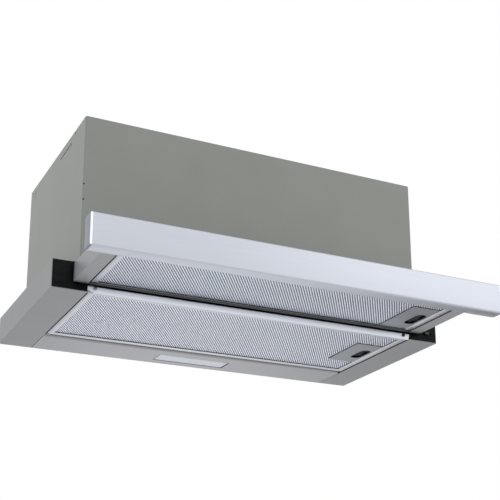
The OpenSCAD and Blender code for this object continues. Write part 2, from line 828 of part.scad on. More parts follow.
// Bellmouth ring of the right-hand inlet
module inlet_ring() translate([blower_x, blower_y, blower_z]) rotate([0, 90, 0]) rotate_extrude()
    polygon([[inlet_r - 2, -7], [inlet_r - 0.3, -7], [inlet_r - 0.3, 0], [inlet_r + ring_w, 0],
             [inlet_r + ring_w, ring_t], [inlet_r + 1, ring_t], [inlet_r - 2, 0]]);
module left_inlet_ring() color("#4a4d52") mirror([1, 0, 0]) inlet_ring();
module right_inlet_ring() color("#4a4d52") inlet_ring();

// One forward-curved blade, seen along X
module blade_outline() translate([blade_in + blade_seat, 0]) rotate(blade_a)
    square([(impeller_r - blade_in - blade_seat) / cos(blade_a), blade_t]);

// Double-inlet impeller: a centre disc, a ring at each end and the blades between them
module impeller() color("#2e3136") translate([0, blower_y, blower_z]) difference() {
    union() {
        along_x(-1, 1) circle(r = blade_in + 4);
        along_x(-6, 8) circle(r = hub_r);
        for (x = [-impeller_x, impeller_x - 2]) along_x(x, x + 2) difference() {
            circle(r = impeller_r + 2);
            circle(r = blade_in);
        }
        for (i = [0:blade_n - 1]) along_x(-impeller_x, impeller_x)
            rotate(i * 360 / blade_n) blade_outline();
    }
    along_x(-7, 9) circle(r = shaft_r + run_gap);
}

// Stator housing of the motor, with its two bearing seats
module motor() color("#6d7076") translate([0, blower_y, blower_z]) difference() {
    bar_x(motor_x[0], motor_x[1], 0, 0, motor_r);
    bar_x(motor_x[0] - 1, motor_x[1] + 1, 0, 0, shaft_r + 2);
    bar_x(motor_x[0] + bearing_l + 3, motor_x[1] - bearing_l - 3, 0, 0, stator_r);
    bar_x(motor_x[0] - 1, motor_x[0] + bearing_l, 0, 0, bearing_r + run_gap);
    bar_x(motor_x[1] - bearing_l, motor_x[1] + 1, 0, 0, bearing_r + run_gap);
}
module motor_bearings() color("#c0c4c8") translate([0, blower_y, blower_z]) {
    for (x = [motor_x[0], motor_x[1] - bearing_l]) difference() {
        bar_x(x, x + bearing_l, 0, 0, bearing_r);
        bar_x(x - 1, x + bearing_l + 1, 0, 0, shaft_r + run_gap);
    }
}

// Three-armed bracket that carries the motor in the left-hand inlet
module motor_bracket() color("#7c8086") translate([motor_x[0] - arm_t, blower_y, blower_z])
    along_x(0, arm_t) difference() {
        union() {
            circle(r = motor_r - 6);
            for (a = [90, 210, 330]) rotate(a)
                translate([0, -arm_w / 2]) square([inlet_r + ring_w - 2, arm_w]);
        }
        circle(r = bearing_r + 2);
    }

// Rotor and shaft, which carry the impeller
module motor_shaft() color("#a7abb0") translate([0, blower_y, blower_z]) {
    bar_x(motor_x[0] - shaft_tail, shaft_end, 0, 0, shaft_r);
    bar_x(motor_x[0] + bearing_l + 5, motor_x[1] - bearing_l - 5, 0, 0, stator_r - rotor_gap);
}

// Spigot for the duct, with a ledge for the flaps and a boss at each end of their pin
module duct_collar() color("#9fa3a8") difference() {
    inner_r = collar_r - collar_wall;
    union() {
        translate([0, collar_y, top_z]) rotate_extrude()
            polygon([[inner_r, ring_h], [collar_r, ring_h], [collar_r, collar_h], [inner_r, collar_h],
                     [inner_r, ledge_z + ledge_t], [inner_r - ledge_w, ledge_z + ledge_t],
                     [inner_r - ledge_w, ledge_z], [inner_r, ledge_z]]);
        both_sides() block([collar_r - boss_in, collar_y - boss, pin_z - boss],
                           [collar_r - collar_wall / 2, collar_y + boss, pin_z + boss]);
    }
    bar_x(-collar_r + collar_wall / 2, collar_r - collar_wall / 2, collar_y, pin_z,
          pin_r + peg_gap);
}

// Ring under the collar's foot, which fastens it to the lid
module collar_ring() color("#9fa3a8") translate([0, collar_y, top_z]) rotate_extrude()
    polygon([[collar_r - collar_wall, 0], [collar_r + collar_flange, 0],
             [collar_r + collar_flange, ring_h], [collar_r - collar_wall, ring_h]]);
module flap_pin() color("#c0c4c8")
    bar_x(-collar_r + collar_wall / 2, collar_r - collar_wall / 2, collar_y, pin_z, pin_r);

// Half-round backdraft flap behind the pin. Its knuckles start at x and at -x.
module flap(x) translate([0, collar_y, pin_z]) difference() {
    union() {
        translate([0, 0, -flap_t / 2]) linear_extrude(flap_t) difference() {
            circle(r = flap_r);
            translate([-collar_r, -collar_r]) square([2 * collar_r, collar_r + flap_start]);
            both_sides() translate([collar_r - boss_in - flap_notch, 0])
                square([2 * boss_in, 2 * flap_start]);
        }
        for (x0 = [x, -x - knuckle_l]) {
            bar_x(x0, x0 + knuckle_l, 0, 0, knuckle_r);
            block([x0, 0, -flap_t / 2], [x0 + knuckle_l, flap_start + 2, flap_t / 2]);
        }
    }
    bar_x(-collar_r, collar_r, 0, 0, pin_r + peg_gap);
}
module front_flap() color("#c8ccd0")
    translate([0, 2 * collar_y, 0]) mirror([0, 1, 0]) flap(front_knuckle_x);
module rear_flap() color("#c8ccd0") flap(rear_knuckle_x);

box_in = 32;
box_w = 100;
box_d = 80;
box_x = [casing_x - box_in - box_w, casing_x - box_in];
box_back = 50;
box_y = [front_y + box_back, front_y + box_back + box_d];
box_h = 38;
board_gap = 6;
board_t = 1.6;
terminal = [50, 14, 14];
terminal_in = 20;
terminal_n = 5;
terminal_r = 2.5;
capacitor_y = gland_y - 40;
capacitor_r = 16;
capacitor_h = 50;
stud_r = 8;
stud_h = 4;

// Electronics box under the lid, open below, with four bosses for the board
module control_box() color("#26282b") {
    z1 = top_z - sheet;
    difference() {
        block([box_x[0], box_y[0], z1 - box_h], [box_x[1], box_y[1], z1]);
        block([box_x[0] + wall, box_y[0] + wall, z1 - box_h - 1],
              [box_x[1] - wall, box_y[1] - wall, z1 - wall]);
    }
    for (x = [box_x[0] + 8, box_x[1] - 8], y = [box_y[0] + 8, box_y[1] - 8])
        bar_z(z1 - wall - board_gap, z1 - wall, x, y, 4);
}
module control_cover() color("#303338") {
    z1 = top_z - sheet - box_h;
    block([box_x[0], box_y[0], z1 - wall], [box_x[1], box_y[1], z1]);
}
module control_board() color("#2f6b4a") {
    z1 = top_z - sheet - wall - board_gap;
    block([box_x[0] + 3, box_y[0] + 3, z1 - board_t], [box_x[1] - 3, box_y[1] - 3, z1]);
}
module terminal_block() color("#d8d8d0") {
    at = [box_x[0] + terminal_in, box_y[0] + terminal_in,
          top_z - sheet - wall - board_gap - board_t - terminal[2]];
    step = terminal[0] / terminal_n;
    difference() {
        block(at, at + terminal);
        for (i = [0:terminal_n - 1])
            bar_z(at[2] - 1, at[2] + terminal[2] - 4, at[0] + (i + 0.5) * step,
                  at[1] + terminal[1] / 2, terminal_r);
    }
}

// Run capacitor of the motor, hung from the lid
module capacitor() color("#c6c9cc") {
    z1 = top_z - sheet;
    bar_z(z1 - stud_h, z1, gland_x, capacitor_y, stud_r);
    bar_z(z1 - stud_h - capacitor_h, z1 - stud_h, gland_x, capacitor_y, capacitor_r);
}

// Cable gland in the lid, and its nut
module cable_gland() color("#3b3e42") {
    difference() {
        union() {
            bar_z(top_z - gland_down, top_z + gland_foot, gland_x, gland_y, gland_r);
            bar_z(top_z, top_z + gland_foot, gland_x, gland_y, gland_r + 4);
            bar_z(top_z + gland_foot, top_z + gland_up, gland_x, gland_y, gland_r + 2);
        }
        bar_z(top_z - gland_down - 1, top_z + gland_up + 1, gland_x, gland_y, cord_r);
    }
    difference() {
        translate([gland_x, gland_y, top_z - sheet - nut_h])
            cylinder(r = gland_r + 4, h = nut_h, $fn = 6);
        bar_z(top_z - gland_down - 1, top_z, gland_x, gland_y, gland_r + run_gap);
    }
}

// Screws that hold the lid at the casing's rear corners
module casing_screws() color("#9a9ea2") both_sides() {
    bar_x(casing_x - 7, casing_x, side_screw_y, side_screw_z, side_screw_r - 0.05);
    bar_x(casing_x, casing_x + 1, side_screw_y, side_screw_z, 3);
}

body_wrap();
top_panel();
rear_panel();
base_frame();
rear_strip();
front_rail();
rail_screws();
left_front_plate();
right_front_plate();
filter_hooks();
lamp_lens();
lamp_housing();
lamp_board();
left_slide_rail();
right_slide_rail();
blower_left_shell();
blower_right_shell();
left_inlet_ring();
right_inlet_ring();
motor();
motor_bearings();
motor_bracket();
duct_collar();
collar_ring();
flap_pin();
control_box();
control_cover();
control_board();
terminal_block();
capacitor();
cable_gland();
casing_screws();
switch_box();
tray_pan();
fascia();
fascia_left_cap();
fascia_right_cap();
fascia_screws();
tray_filter_hooks();
left_slide_runner();
right_slide_runner();
left_ball_cage();
right_ball_cage();
base_filter_frame();
base_filter_mesh();
base_filter_core();
base_filter_handle();
base_filter_latch();
tray_filter_frame();
tray_filter_mesh();
tray_filter_core();
tray_filter_handle();
tray_filter_latch();
impeller();
motor_shaft();
front_flap();
rear_flap();
light_knob();
speed_knob();
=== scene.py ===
"""The looks of a telescopic range hood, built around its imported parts.

Lengths are in metres, in the frame of the parts: X to the right, Y from the fascia to the wall, and
Z up. A size that is easier to read in millimetres is written as so many times MM.
"""

import json
import math

import bmesh
import bpy
import numpy as np
from mathutils import Matrix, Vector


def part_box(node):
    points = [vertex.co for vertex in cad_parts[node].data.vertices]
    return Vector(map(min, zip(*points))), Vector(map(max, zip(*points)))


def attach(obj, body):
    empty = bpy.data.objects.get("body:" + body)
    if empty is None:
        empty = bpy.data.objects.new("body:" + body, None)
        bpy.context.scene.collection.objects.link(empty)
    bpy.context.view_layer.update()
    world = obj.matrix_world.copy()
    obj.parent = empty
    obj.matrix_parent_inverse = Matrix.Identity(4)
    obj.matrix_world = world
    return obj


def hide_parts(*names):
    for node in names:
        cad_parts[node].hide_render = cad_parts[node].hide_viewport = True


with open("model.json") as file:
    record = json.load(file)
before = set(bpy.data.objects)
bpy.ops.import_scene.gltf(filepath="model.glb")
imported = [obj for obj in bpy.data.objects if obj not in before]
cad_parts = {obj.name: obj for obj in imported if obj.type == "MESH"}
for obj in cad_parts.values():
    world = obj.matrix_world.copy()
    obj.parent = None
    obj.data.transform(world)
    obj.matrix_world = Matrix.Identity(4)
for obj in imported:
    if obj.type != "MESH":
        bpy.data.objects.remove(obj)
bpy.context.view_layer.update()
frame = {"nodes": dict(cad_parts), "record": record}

MM = 0.001

# The camera, as fitted to the photograph's edges, in its 500 pixels
PHOTO_W = 500
FOCAL_PX = 1108.556
AXIS_PX = (282.017, 352.137)
CAMERA_AT = (-0.653336, -1.386018, -0.485167)
AZIMUTH = math.radians(27.395)
ELEVATION = math.radians(16.365)
ROLL = math.radians(-0.665)
SENSOR_MM = 36
NEAREST = 0.02
FARTHEST = 60


def set_camera():
    """A camera that looks along AZIMUTH and ELEVATION. Its shift puts the axis at AXIS_PX."""
    flat = math.cos(ELEVATION)
    ahead = np.array([math.sin(AZIMUTH) * flat, math.cos(AZIMUTH) * flat, math.sin(ELEVATION)])
    right = np.cross(ahead, (0, 0, 1))
    right /= np.linalg.norm(right)
    up = np.cross(right, ahead)
    turned_right = math.cos(ROLL) * right + math.sin(ROLL) * up
    turned_up = math.cos(ROLL) * up - math.sin(ROLL) * right
    data = bpy.data.cameras.new("camera")
    data.sensor_width = SENSOR_MM
    data.lens = SENSOR_MM * FOCAL_PX / PHOTO_W
    data.shift_x = 0.5 - AXIS_PX[0] / PHOTO_W
    data.shift_y = AXIS_PX[1] / PHOTO_W - 0.5
    data.clip_start = NEAREST
    data.clip_end = FARTHEST
    camera = bpy.data.objects.new("camera", data)
    bpy.context.scene.collection.objects.link(camera)
    columns = np.column_stack([turned_right, turned_up, -ahead, CAMERA_AT])
    camera.matrix_world = Matrix(columns.tolist() + [[0, 0, 0, 1]])
    bpy.context.scene.camera = camera


def linear(hex_colour):
    """An sRGB hex colour as linear red, green and blue, with alpha 1."""
    srgb = np.array([int(hex_colour[i:i + 2], 16) for i in (1, 3, 5)]) / 255
    low = srgb / 12.92
    high = ((srgb + 0.055) / 1.055) ** 2.4
    return (*np.where(srgb <= 0.04045, low, high).tolist(), 1.0)


def add(tree, kind, inputs=None, **settings):
    """Adds one node. inputs maps socket names to values or to sockets to link from."""
    node = tree.nodes.new(kind)
    for key, value in settings.items():
        setattr(node, key, value)
    for key, value in (inputs or {}).items():
        if isinstance(value, bpy.types.NodeSocket):
            tree.links.new(value, node.inputs[key])
        else:
            node.inputs[key].default_value = value
    return node


# The room's soft light from all sides, as a share of white
WORLD_LIGHT = 0.80
# The floor, far below the hood, in steps of 0.75 m
FLOOR_Z = -1.6
FLOOR_HALF = 9.0
FLOOR_POINTS = 25
# Gloss sees the floor white. Behind the hood, from the first to the second of these places in Y,
# that white turns into a pool.
FLOOR_BEHIND = (0.4, 2.4)
# The pool's left and right ends, in X less FLOOR_SLANT times Y: two places, and its white at each
FLOOR_SLANT = 0.2
FLOOR_FADES = ((-0.2, 0.2, 0.55, 1.0), (1.6, 2.1, 1.0, 0.02))
# Soft boxes: the main two in front, at the right and high at the left, a weak one low in front,
# and one low behind. Each has its place, side, watts and colour.
LAMPS_FACE = (0, 0, 0.1)
LAMPS = (
    ("front_softbox", (2.0, -2.4, 1.2), 1.6, 6.7, "#fffdfb"),
    ("high_softbox", (-0.6, -2.8, 1.4), 1.8, 6.4, "#fffdfa"),
    ("low_softbox", (1.1, -2.4, -0.5), 1.6, 1.7, "#ffffff"),
    ("rear_softbox", (0.9, 3.2, -1.0), 2.4, 3.6, "#fbfbff"),
)


def seen_by(tree, *kinds):
    """1 for a ray of one of these kinds, and 0 for light that falls on the hood: the largest of
    these outputs of Light Path."""
    ray = add(tree, "ShaderNodeLightPath").outputs
    seen = ray[kinds[0]]
    for kind in kinds[1:]:
        seen = add(tree, "ShaderNodeMath", {0: seen, 1: ray[kind]}, operation="MAXIMUM").outputs[0]
    return seen


def set_world():
    """White where the camera, a gloss or glass sees it, and WORLD_LIGHT as light on the hood."""
    world = bpy.data.worlds.new("studio")
    world.use_nodes = True
    tree = world.node_tree
    tree.nodes.clear()
    light = add(tree, "ShaderNodeBackground", {"Color": linear("#f6f8ff"),
                                               "Strength": WORLD_LIGHT})
    white = add(tree, "ShaderNodeBackground", {"Color": linear("#ffffff"), "Strength": 1.0})
    seen = seen_by(tree, "Is Camera Ray", "Is Glossy Ray", "Is Transmission Ray")
    mix = add(tree, "ShaderNodeMixShader", {0: seen, 1: light.outputs[0], 2: white.outputs[0]})
    add(tree, "ShaderNodeOutputWorld", {"Surface": mix.outputs[0]})
    bpy.context.scene.world = world
    bpy.context.scene.view_settings.view_transform = "Standard"


def set_lamps():
    """Square soft boxes that face the middle of the hood."""
    for name, place, side, power, colour in LAMPS:
        data = bpy.data.lights.new(name, "AREA")
        data.shape = "SQUARE"
        data.size = side
        data.energy = power
        data.color = linear(colour)[:3]
        lamp = bpy.data.objects.new(name, data)
        bpy.context.scene.collection.objects.link(lamp)
        back = np.array(place) - LAMPS_FACE
        back /= np.linalg.norm(back)
        across = np.cross((0, 0, 1), back)
        across /= np.linalg.norm(across)
        columns = np.column_stack([across, np.cross(back, across), back, place])
        lamp.matrix_world = Matrix(columns.tolist() + [[0, 0, 0, 1]])


def set_floor():
    """A pale matte floor far below, since the hood hangs overhead. Gloss sees it as white, which
    behind the hood turns into the product of the two FLOOR_FADES."""
    material = bpy.data.materials.new("pale_floor")
    material.use_nodes = True
    tree = material.node_tree
    tree.nodes.clear()
    matte = add(tree, "ShaderNodeBsdfDiffuse", {"Color": linear("#ececec")})
    place = add(tree, "ShaderNodeTexCoord").outputs["Object"]
    across = add(tree, "ShaderNodeVectorMath", {0: place, 1: (1, -FLOOR_SLANT, 0)},
                 operation="DOT_PRODUCT").outputs["Value"]
    left, right = (add(tree, "ShaderNodeMapRange",
                       {"Value": across, "From Min": start, "From Max": end,
                        "To Min": light_start, "To Max": light_end}).outputs[0]
                   for start, end, light_start, light_end in FLOOR_FADES)
    pool = add(tree, "ShaderNodeMath", {0: left, 1: right}, operation="MULTIPLY").outputs[0]
    depth = add(tree, "ShaderNodeSeparateXYZ", {"Vector": place}).outputs[1]
    behind = add(tree, "ShaderNodeMapRange", {"Value": depth, "From Min": FLOOR_BEHIND[0],
                                              "From Max": FLOOR_BEHIND[1]}).outputs[0]
    strength = add(tree, "ShaderNodeMix", {"Factor": behind, "A": 1.0, "B": pool}).outputs[0]
    white = add(tree, "ShaderNodeEmission", {"Color": linear("#ffffff"), "Strength": strength})
    seen = seen_by(tree, "Is Glossy Ray", "Is Transmission Ray")
    mix = add(tree, "ShaderNodeMixShader", {0: seen, 1: matte.outputs[0], 2: white.outputs[0]})
    add(tree, "ShaderNodeOutputMaterial", {"Surface": mix.outputs[0]})
    grid = np.linspace(-FLOOR_HALF, FLOOR_HALF, FLOOR_POINTS)
    x, y = np.meshgrid(grid, grid)
    points = np.stack([x, y, np.full_like(x, FLOOR_Z)], -1).reshape(-1, 3)
    mesh = bpy.data.meshes.new("floor")
    mesh.from_pydata(points.tolist(), [], quads_of_grid(len(grid), len(grid)).tolist())
    mesh.materials.append(material)
    floor = bpy.data.objects.new("floor", mesh)
    bpy.context.scene.collection.objects.link(floor)


def quads_of_grid(rows, columns, closed=False):
    """Corner numbers of the quads of a grid of points, row by row. closed joins the last column
    to the first."""
    index = np.arange(rows * columns).reshape(rows, columns)
    if closed:
        index = np.concatenate([index, index[:, :1]], 1)
    return np.stack([index[:-1, :-1], index[:-1, 1:], index[1:, 1:], index[1:, :-1]],
                    -1).reshape(-1, 4)


def new_material(name):
    """An empty material, its node tree and its Object coordinates."""
    material = bpy.data.materials.new(name)
    material.use_nodes = True
    tree = material.node_tree
    tree.nodes.clear()
    place = add(tree, "ShaderNodeTexCoord").outputs["Object"]
    return material, tree, place


# How far off a wall painted shade reaches into a gap, how strongly, and with how many rays
CREASE_REACH = 9 * MM
CREASE_SHADE_POWER = 1.6
CREASE_RAYS = 6


def finish_material(tree, settings, crease_shade=CREASE_SHADE_POWER, reach=CREASE_REACH):
    """Puts a Principled shader with these sockets on the output. Its colour and gloss are darkened
    in creases and gaps as painted shade: both are multiplied by the open share of the
    surroundings to the power crease_shade."""
    open_share = add(tree, "ShaderNodeAmbientOcclusion", {"Distance": reach},
                     samples=CREASE_RAYS).outputs["AO"]
    shade = add(tree, "ShaderNodeMath", {0: open_share, 1: crease_shade}, operation="POWER").outputs[0]
    shaded_colour = add(tree, "ShaderNodeVectorMath", {0: settings["Base Color"], "Scale": shade},
                 operation="SCALE").outputs[0]
    gloss = add(tree, "ShaderNodeMath", {0: shade, 1: settings.get("Specular IOR Level", 0.5)},
                operation="MULTIPLY").outputs[0]
    shader = add(tree, "ShaderNodeBsdfPrincipled",
                 {**settings, "Base Color": shaded_colour, "Specular IOR Level": gloss})
    add(tree, "ShaderNodeOutputMaterial", {"Surface": shader.outputs[0]})


def stretched_noise(tree, place, sizes_mm, detail=3.0):
    """Noise whose grains measure sizes_mm along X, Y and Z."""
    mapping = add(tree, "ShaderNodeMapping",
                  {"Vector": place, "Scale": [1 / (size * MM) for size in sizes_mm]})
    return add(tree, "ShaderNodeTexNoise", {"Vector": mapping.outputs[0], "Scale": 1.0,
                                            "Detail": detail, "Roughness": 0.55}).outputs[0]


def spread(tree, value, low, high):
    """Turns a noise's middle part, from 0.3 to 0.7, into the range from low to high."""
    return add(tree, "ShaderNodeMapRange", {"Value": value, "From Min": 0.3, "From Max": 0.7,
                                            "To Min": low, "To Max": high}).outputs[0]


def tinted(tree, factor, dark, light):
    """A colour between two hex colours."""
    mix = add(tree, "ShaderNodeMix", {"Factor": factor}, data_type="RGBA")
    mix.inputs[6].default_value = linear(dark)
    mix.inputs[7].default_value = linear(light)
    return mix.outputs[2]


def powder_coated_steel(name, dark, light, roughness, crease_shade=CREASE_SHADE_POWER):
    """Baked powder paint on sheet steel: satin, with a faint speckle and a fine orange peel. The
    real peel is as coarse as here, 1.8 mm, and the speckle finer than its 1.1 mm."""
    material, tree, place = new_material(name)
    speckle = stretched_noise(tree, place, (1.1, 1.1, 1.1))
    cloud = stretched_noise(tree, place, (90, 90, 90), detail=2.0)
    tone = add(tree, "ShaderNodeMath", {0: spread(tree, speckle, 0.0, 0.5),
                                        1: spread(tree, cloud, 0.0, 0.5)}, operation="ADD")
    peel = stretched_noise(tree, place, (1.8, 1.8, 1.8), detail=1.0)
    bump = add(tree, "ShaderNodeBump", {"Height": peel, "Strength": 0.12, "Distance": 0.05 * MM})
    finish_material(tree, {"Base Color": tinted(tree, tone.outputs[0], dark, light),
                           "Roughness": spread(tree, speckle, roughness - 0.04, roughness + 0.04),
                           "Normal": bump.outputs[0]}, crease_shade)
    return material


def brushed_steel(name, dark, light, roughness, line_mm=0.9, run_mm=160, crease_shade=CREASE_SHADE_POWER,
                  reach=CREASE_REACH):
    """Stainless sheet ground with a belt: long lines along X, which spread its gloss. Real ones are
    about 0.1 mm wide, and are drawn wider to show."""
    material, tree, place = new_material(name)
    lines = stretched_noise(tree, place, (run_mm, line_mm, line_mm), detail=5.0)
    bump = add(tree, "ShaderNodeBump", {"Height": lines, "Strength": 0.10, "Distance": 0.03 * MM})
    finish_material(tree, {"Base Color": tinted(tree, spread(tree, lines, 0.0, 1.0), dark, light),
                           "Metallic": 1.0,
                           "Roughness": spread(tree, lines, roughness - 0.05, roughness + 0.05),
                           "Normal": bump.outputs[0]}, crease_shade, reach)
    return material


def rolled_metal(name, dark, light, roughness, grain_mm=6.0, crease_shade=CREASE_SHADE_POWER):
    """Bare rolled, pressed or plated sheet: a soft cloudy gloss with faint lines from the mill,
    drawn 0.8 mm wide to show."""
    material, tree, place = new_material(name)
    cloud = stretched_noise(tree, place, (grain_mm, grain_mm, grain_mm))
    lines = stretched_noise(tree, place, (60, 0.8, 0.8))
    both = add(tree, "ShaderNodeMath", {0: cloud, 1: lines}, operation="ADD")
    half = add(tree, "ShaderNodeMath", {0: both.outputs[0], 1: 0.5},
               operation="MULTIPLY").outputs[0]
    bump = add(tree, "ShaderNodeBump", {"Height": half, "Strength": 0.08, "Distance": 0.03 * MM})
    finish_material(tree, {"Base Color": tinted(tree, spread(tree, half, 0.0, 1.0), dark, light),
                           "Metallic": 1.0,
                           "Roughness": spread(tree, half, roughness - 0.06, roughness + 0.06),
                           "Normal": bump.outputs[0]}, crease_shade)
    return material


def galvanised_steel(name, spangle_mm=9):
    """Hot-dip galvanised sheet: spangles, each a crystal of zinc with its own grey and gloss."""
    material, tree, place = new_material(name)
    mapping = add(tree, "ShaderNodeMapping",
                  {"Vector": place, "Scale": [1 / (spangle_mm * MM)] * 3})
    cells = add(tree, "ShaderNodeTexVoronoi", {"Vector": mapping.outputs[0], "Scale": 1.0})
    shade = add(tree, "ShaderNodeSeparateColor", {"Color": cells.outputs["Color"]}).outputs[0]
    finish_material(tree, {"Base Color": tinted(tree, shade, "#9b9f9f", "#b6baba"),
                           "Metallic": 1.0,
                           "Roughness": spread(tree, shade, 0.42, 0.54)})
    return material


def moulded_plastic(name, dark, light, roughness, gloss=0.5):
    """Injection-moulded plastic: an even colour and the texture of a spark-eroded mould, whose
    grain is drawn 0.9 mm wide to show."""
    material, tree, place = new_material(name)
    grain = stretched_noise(tree, place, (0.9, 0.9, 0.9), detail=2.0)
    cloud = stretched_noise(tree, place, (25, 25, 25), detail=2.0)
    bump = add(tree, "ShaderNodeBump", {"Height": grain, "Strength": 0.15, "Distance": 0.04 * MM})
    finish_material(tree, {"Base Color": tinted(tree, spread(tree, cloud, 0.0, 1.0), dark, light),
                           "Roughness": spread(tree, grain, roughness - 0.04, roughness + 0.04),
                           "Specular IOR Level": gloss, "Normal": bump.outputs[0]})
    return material


def metallised_cap_painted_highlight(name):
    """Grey moulding whose front face, up to CAP_HIGHLIGHT_Y, is made metallic and near white: a
    painted highlight, brighter than its grey sides. The grain is drawn 0.9 mm wide to show."""
    material, tree, place = new_material(name)
    grain = stretched_noise(tree, place, (0.9, 0.9, 0.9), detail=2.0)
    depth = add(tree, "ShaderNodeSeparateXYZ", {"Vector": place}).outputs[1]
    front = add(tree, "ShaderNodeMapRange", {"Value": depth, "From Min": CAP_HIGHLIGHT_Y + 0.5 * MM,
                                             "From Max": CAP_HIGHLIGHT_Y}).outputs[0]
    bump = add(tree, "ShaderNodeBump", {"Height": grain, "Strength": 0.1, "Distance": 0.03 * MM})
    finish_material(tree, {"Base Color": tinted(tree, front, "#868e99", "#f2f5fa"),
                           "Metallic": front,
                           "Roughness": spread(tree, grain, 0.34, 0.42),
                           "Normal": bump.outputs[0]})
    return material


def frosted_polycarbonate(name):
    """Opal polycarbonate: milky right through, with a satin face that hides the lamp, and faint
    ribs across it about 2.5 mm apart."""
    material, tree, place = new_material(name)
    ribs = stretched_noise(tree, place, (2.5, 40, 40), detail=2.0)
    bump = add(tree, "ShaderNodeBump", {"Height": ribs, "Strength": 0.10, "Distance": 0.05 * MM})
    colour = tinted(tree, spread(tree, ribs, 0.0, 1.0), "#d3d6dd", "#dcdfe5")
    finish_material(tree, {"Base Color": colour, "Roughness": 0.34,
                           "Subsurface Weight": 0.25, "Subsurface Scale": 4 * MM,
                           "Coat Weight": 0.15, "Normal": bump.outputs[0]})
    return material


def circuit_board(name):
    """Glass-fibre board under green lacquer, with its weave of 1.2 mm just showing."""
    material, tree, place = new_material(name)
    weave = stretched_noise(tree, place, (1.2, 1.2, 1.2), detail=1.0)
    colour = tinted(tree, spread(tree, weave, 0.0, 1.0), "#1f5a3a", "#2a6b48")
    finish_material(tree, {"Base Color": colour, "Roughness": 0.32, "Coat Weight": 0.4})
    return material


# Where the painted highlight on the front of the fascia's caps ends
CAP_HIGHLIGHT_Y = -220.3 * MM
MATERIALS = {
    # Warm grey satin powder paint on the casing
    "casing_paint": powder_coated_steel("casing_powder_paint", "#8a8c84", "#92948c", 0.40),
    # The same kind of paint on the base, a little cooler, with deeper painted shade in its gaps
    "base_paint": powder_coated_steel("base_powder_paint", "#8d8e8e", "#969797", 0.42, crease_shade=3.0),
    # The base's paint made paler for the tray pan, as painted light
    "base_paint_lit": powder_coated_steel("base_powder_paint_lit", "#9b9c9c", "#a4a5a5", 0.42),
    # Ground stainless strip that carries the lamp, with deep painted shade far into its groove
    "strip_steel": brushed_steel("ground_stainless_strip", "#9fa0a4", "#adaeb2", 0.42, crease_shade=3.0,
                                 reach=20 * MM),
    # Bright rolled stainless rail in front of the base filter
    "rail_steel": brushed_steel("bright_stainless_rail", "#d6d9e1", "#e2e4ea", 0.40, crease_shade=0.3),
    # Belt-ground stainless fascia, with its lines along the width
    "fascia_steel": brushed_steel("belt_ground_stainless_fascia", "#bbbfc8", "#c1c5ce", 0.36),
    # Grey moulded end caps, their front made metallic and near white as a painted highlight
    "cap_grey": metallised_cap_painted_highlight("moulded_grey_metallised_cap"),
    # Folded aluminium of the filter frames, with deeper painted shade in their gaps
    "filter_frame": rolled_metal("folded_aluminium_frame", "#bec1c8", "#ced1d8", 0.38, crease_shade=3.0),
    # Expanded aluminium of the filters' faces
    "filter_mesh": rolled_metal("expanded_aluminium_face", "#e7ecfe", "#f4f7ff", 0.40, 3.0, 0.2),
    # The crimped foil behind the face, near black as painted shade, darker still in its gaps
    "filter_core": rolled_metal("layered_aluminium_core_in_painted_shade", "#252a34", "#383e4a", 0.60, 2.0, 3.5),
    # Pressed aluminium plate around each finger slot
    "handle_plate": rolled_metal("pressed_aluminium_plate", "#93969d", "#9da0a6", 0.42, crease_shade=0.8),
    # Blued spring steel of the latches
    "latch": rolled_metal("blued_spring_steel", "#3c3e42", "#4a4c50", 0.40),
    # Black moulded end plates, control box and gland
    "black_plastic": moulded_plastic("moulded_black_plate", "#030406", "#06070a", 0.60, gloss=0.2),
    # Grey slide knobs
    "knob_plastic": moulded_plastic("moulded_grey_knob", "#3a3e3c", "#424644", 0.45),
    # Opal lamp cover
    "lens": frosted_polycarbonate("opal_polycarbonate_lens"),
    # White moulding and board of the lamp
    "lamp_white": moulded_plastic("moulded_white_lamp_case", "#d6d8da", "#dfe1e3", 0.45),
    # Bright zinc plating on the slides, hooks and screws
    "zinc_steel": rolled_metal("zinc_plated_steel", "#b0b4ba", "#c4c8cd", 0.36, 4.0),
    # Lid and motor bracket
    "galvanised": galvanised_steel("spangled_galvanised_sheet"),
    # Dark moulded blower housing and impeller
    "blower_plastic": moulded_plastic("moulded_dark_blower", "#303338", "#383b40", 0.48),
    # Enamelled motor housing
    "motor_metal": powder_coated_steel("enamelled_motor_case", "#5f6267", "#6a6d72", 0.38),
    # Ground shaft, pins, bearings and ball cages
    "rotor_steel": brushed_steel("ground_bearing_steel", "#a0a4aa", "#b4b8bd", 0.28, 0.5, 40),
    # Black moulded duct collar
    "duct_plastic": moulded_plastic("moulded_black_collar", "#222427", "#292b2e", 0.44),
    # Pale moulded backdraught flaps
    "flap_plastic": moulded_plastic("moulded_pale_flap", "#bfc3c7", "#c9cdd0", 0.42),
    # Green lacquered board of the controls
    "board": circuit_board("lacquered_circuit_board"),
    # Cream moulded terminal block
    "terminal": moulded_plastic("moulded_cream_terminal", "#cfcfc6", "#d9d9d0", 0.45),
    # Drawn aluminium can of the capacitor
    "capacitor_can": rolled_metal("drawn_aluminium_can", "#b6babe", "#c6cace", 0.34),
}
SLOT_OF = {row["node"]: row["material_slot"] for row in frame["record"]["subparts"]}
BODY_OF = {node: body for body, nodes in frame["record"]["behaviour"]["bodies"].items()
           for node in nodes}


def colour_cad_nodes():
    """Every node takes the material of its slot."""
    for name, node in frame["nodes"].items():
        node.data.materials.clear()
        node.data.materials.append(MATERIALS[SLOT_OF[name]])


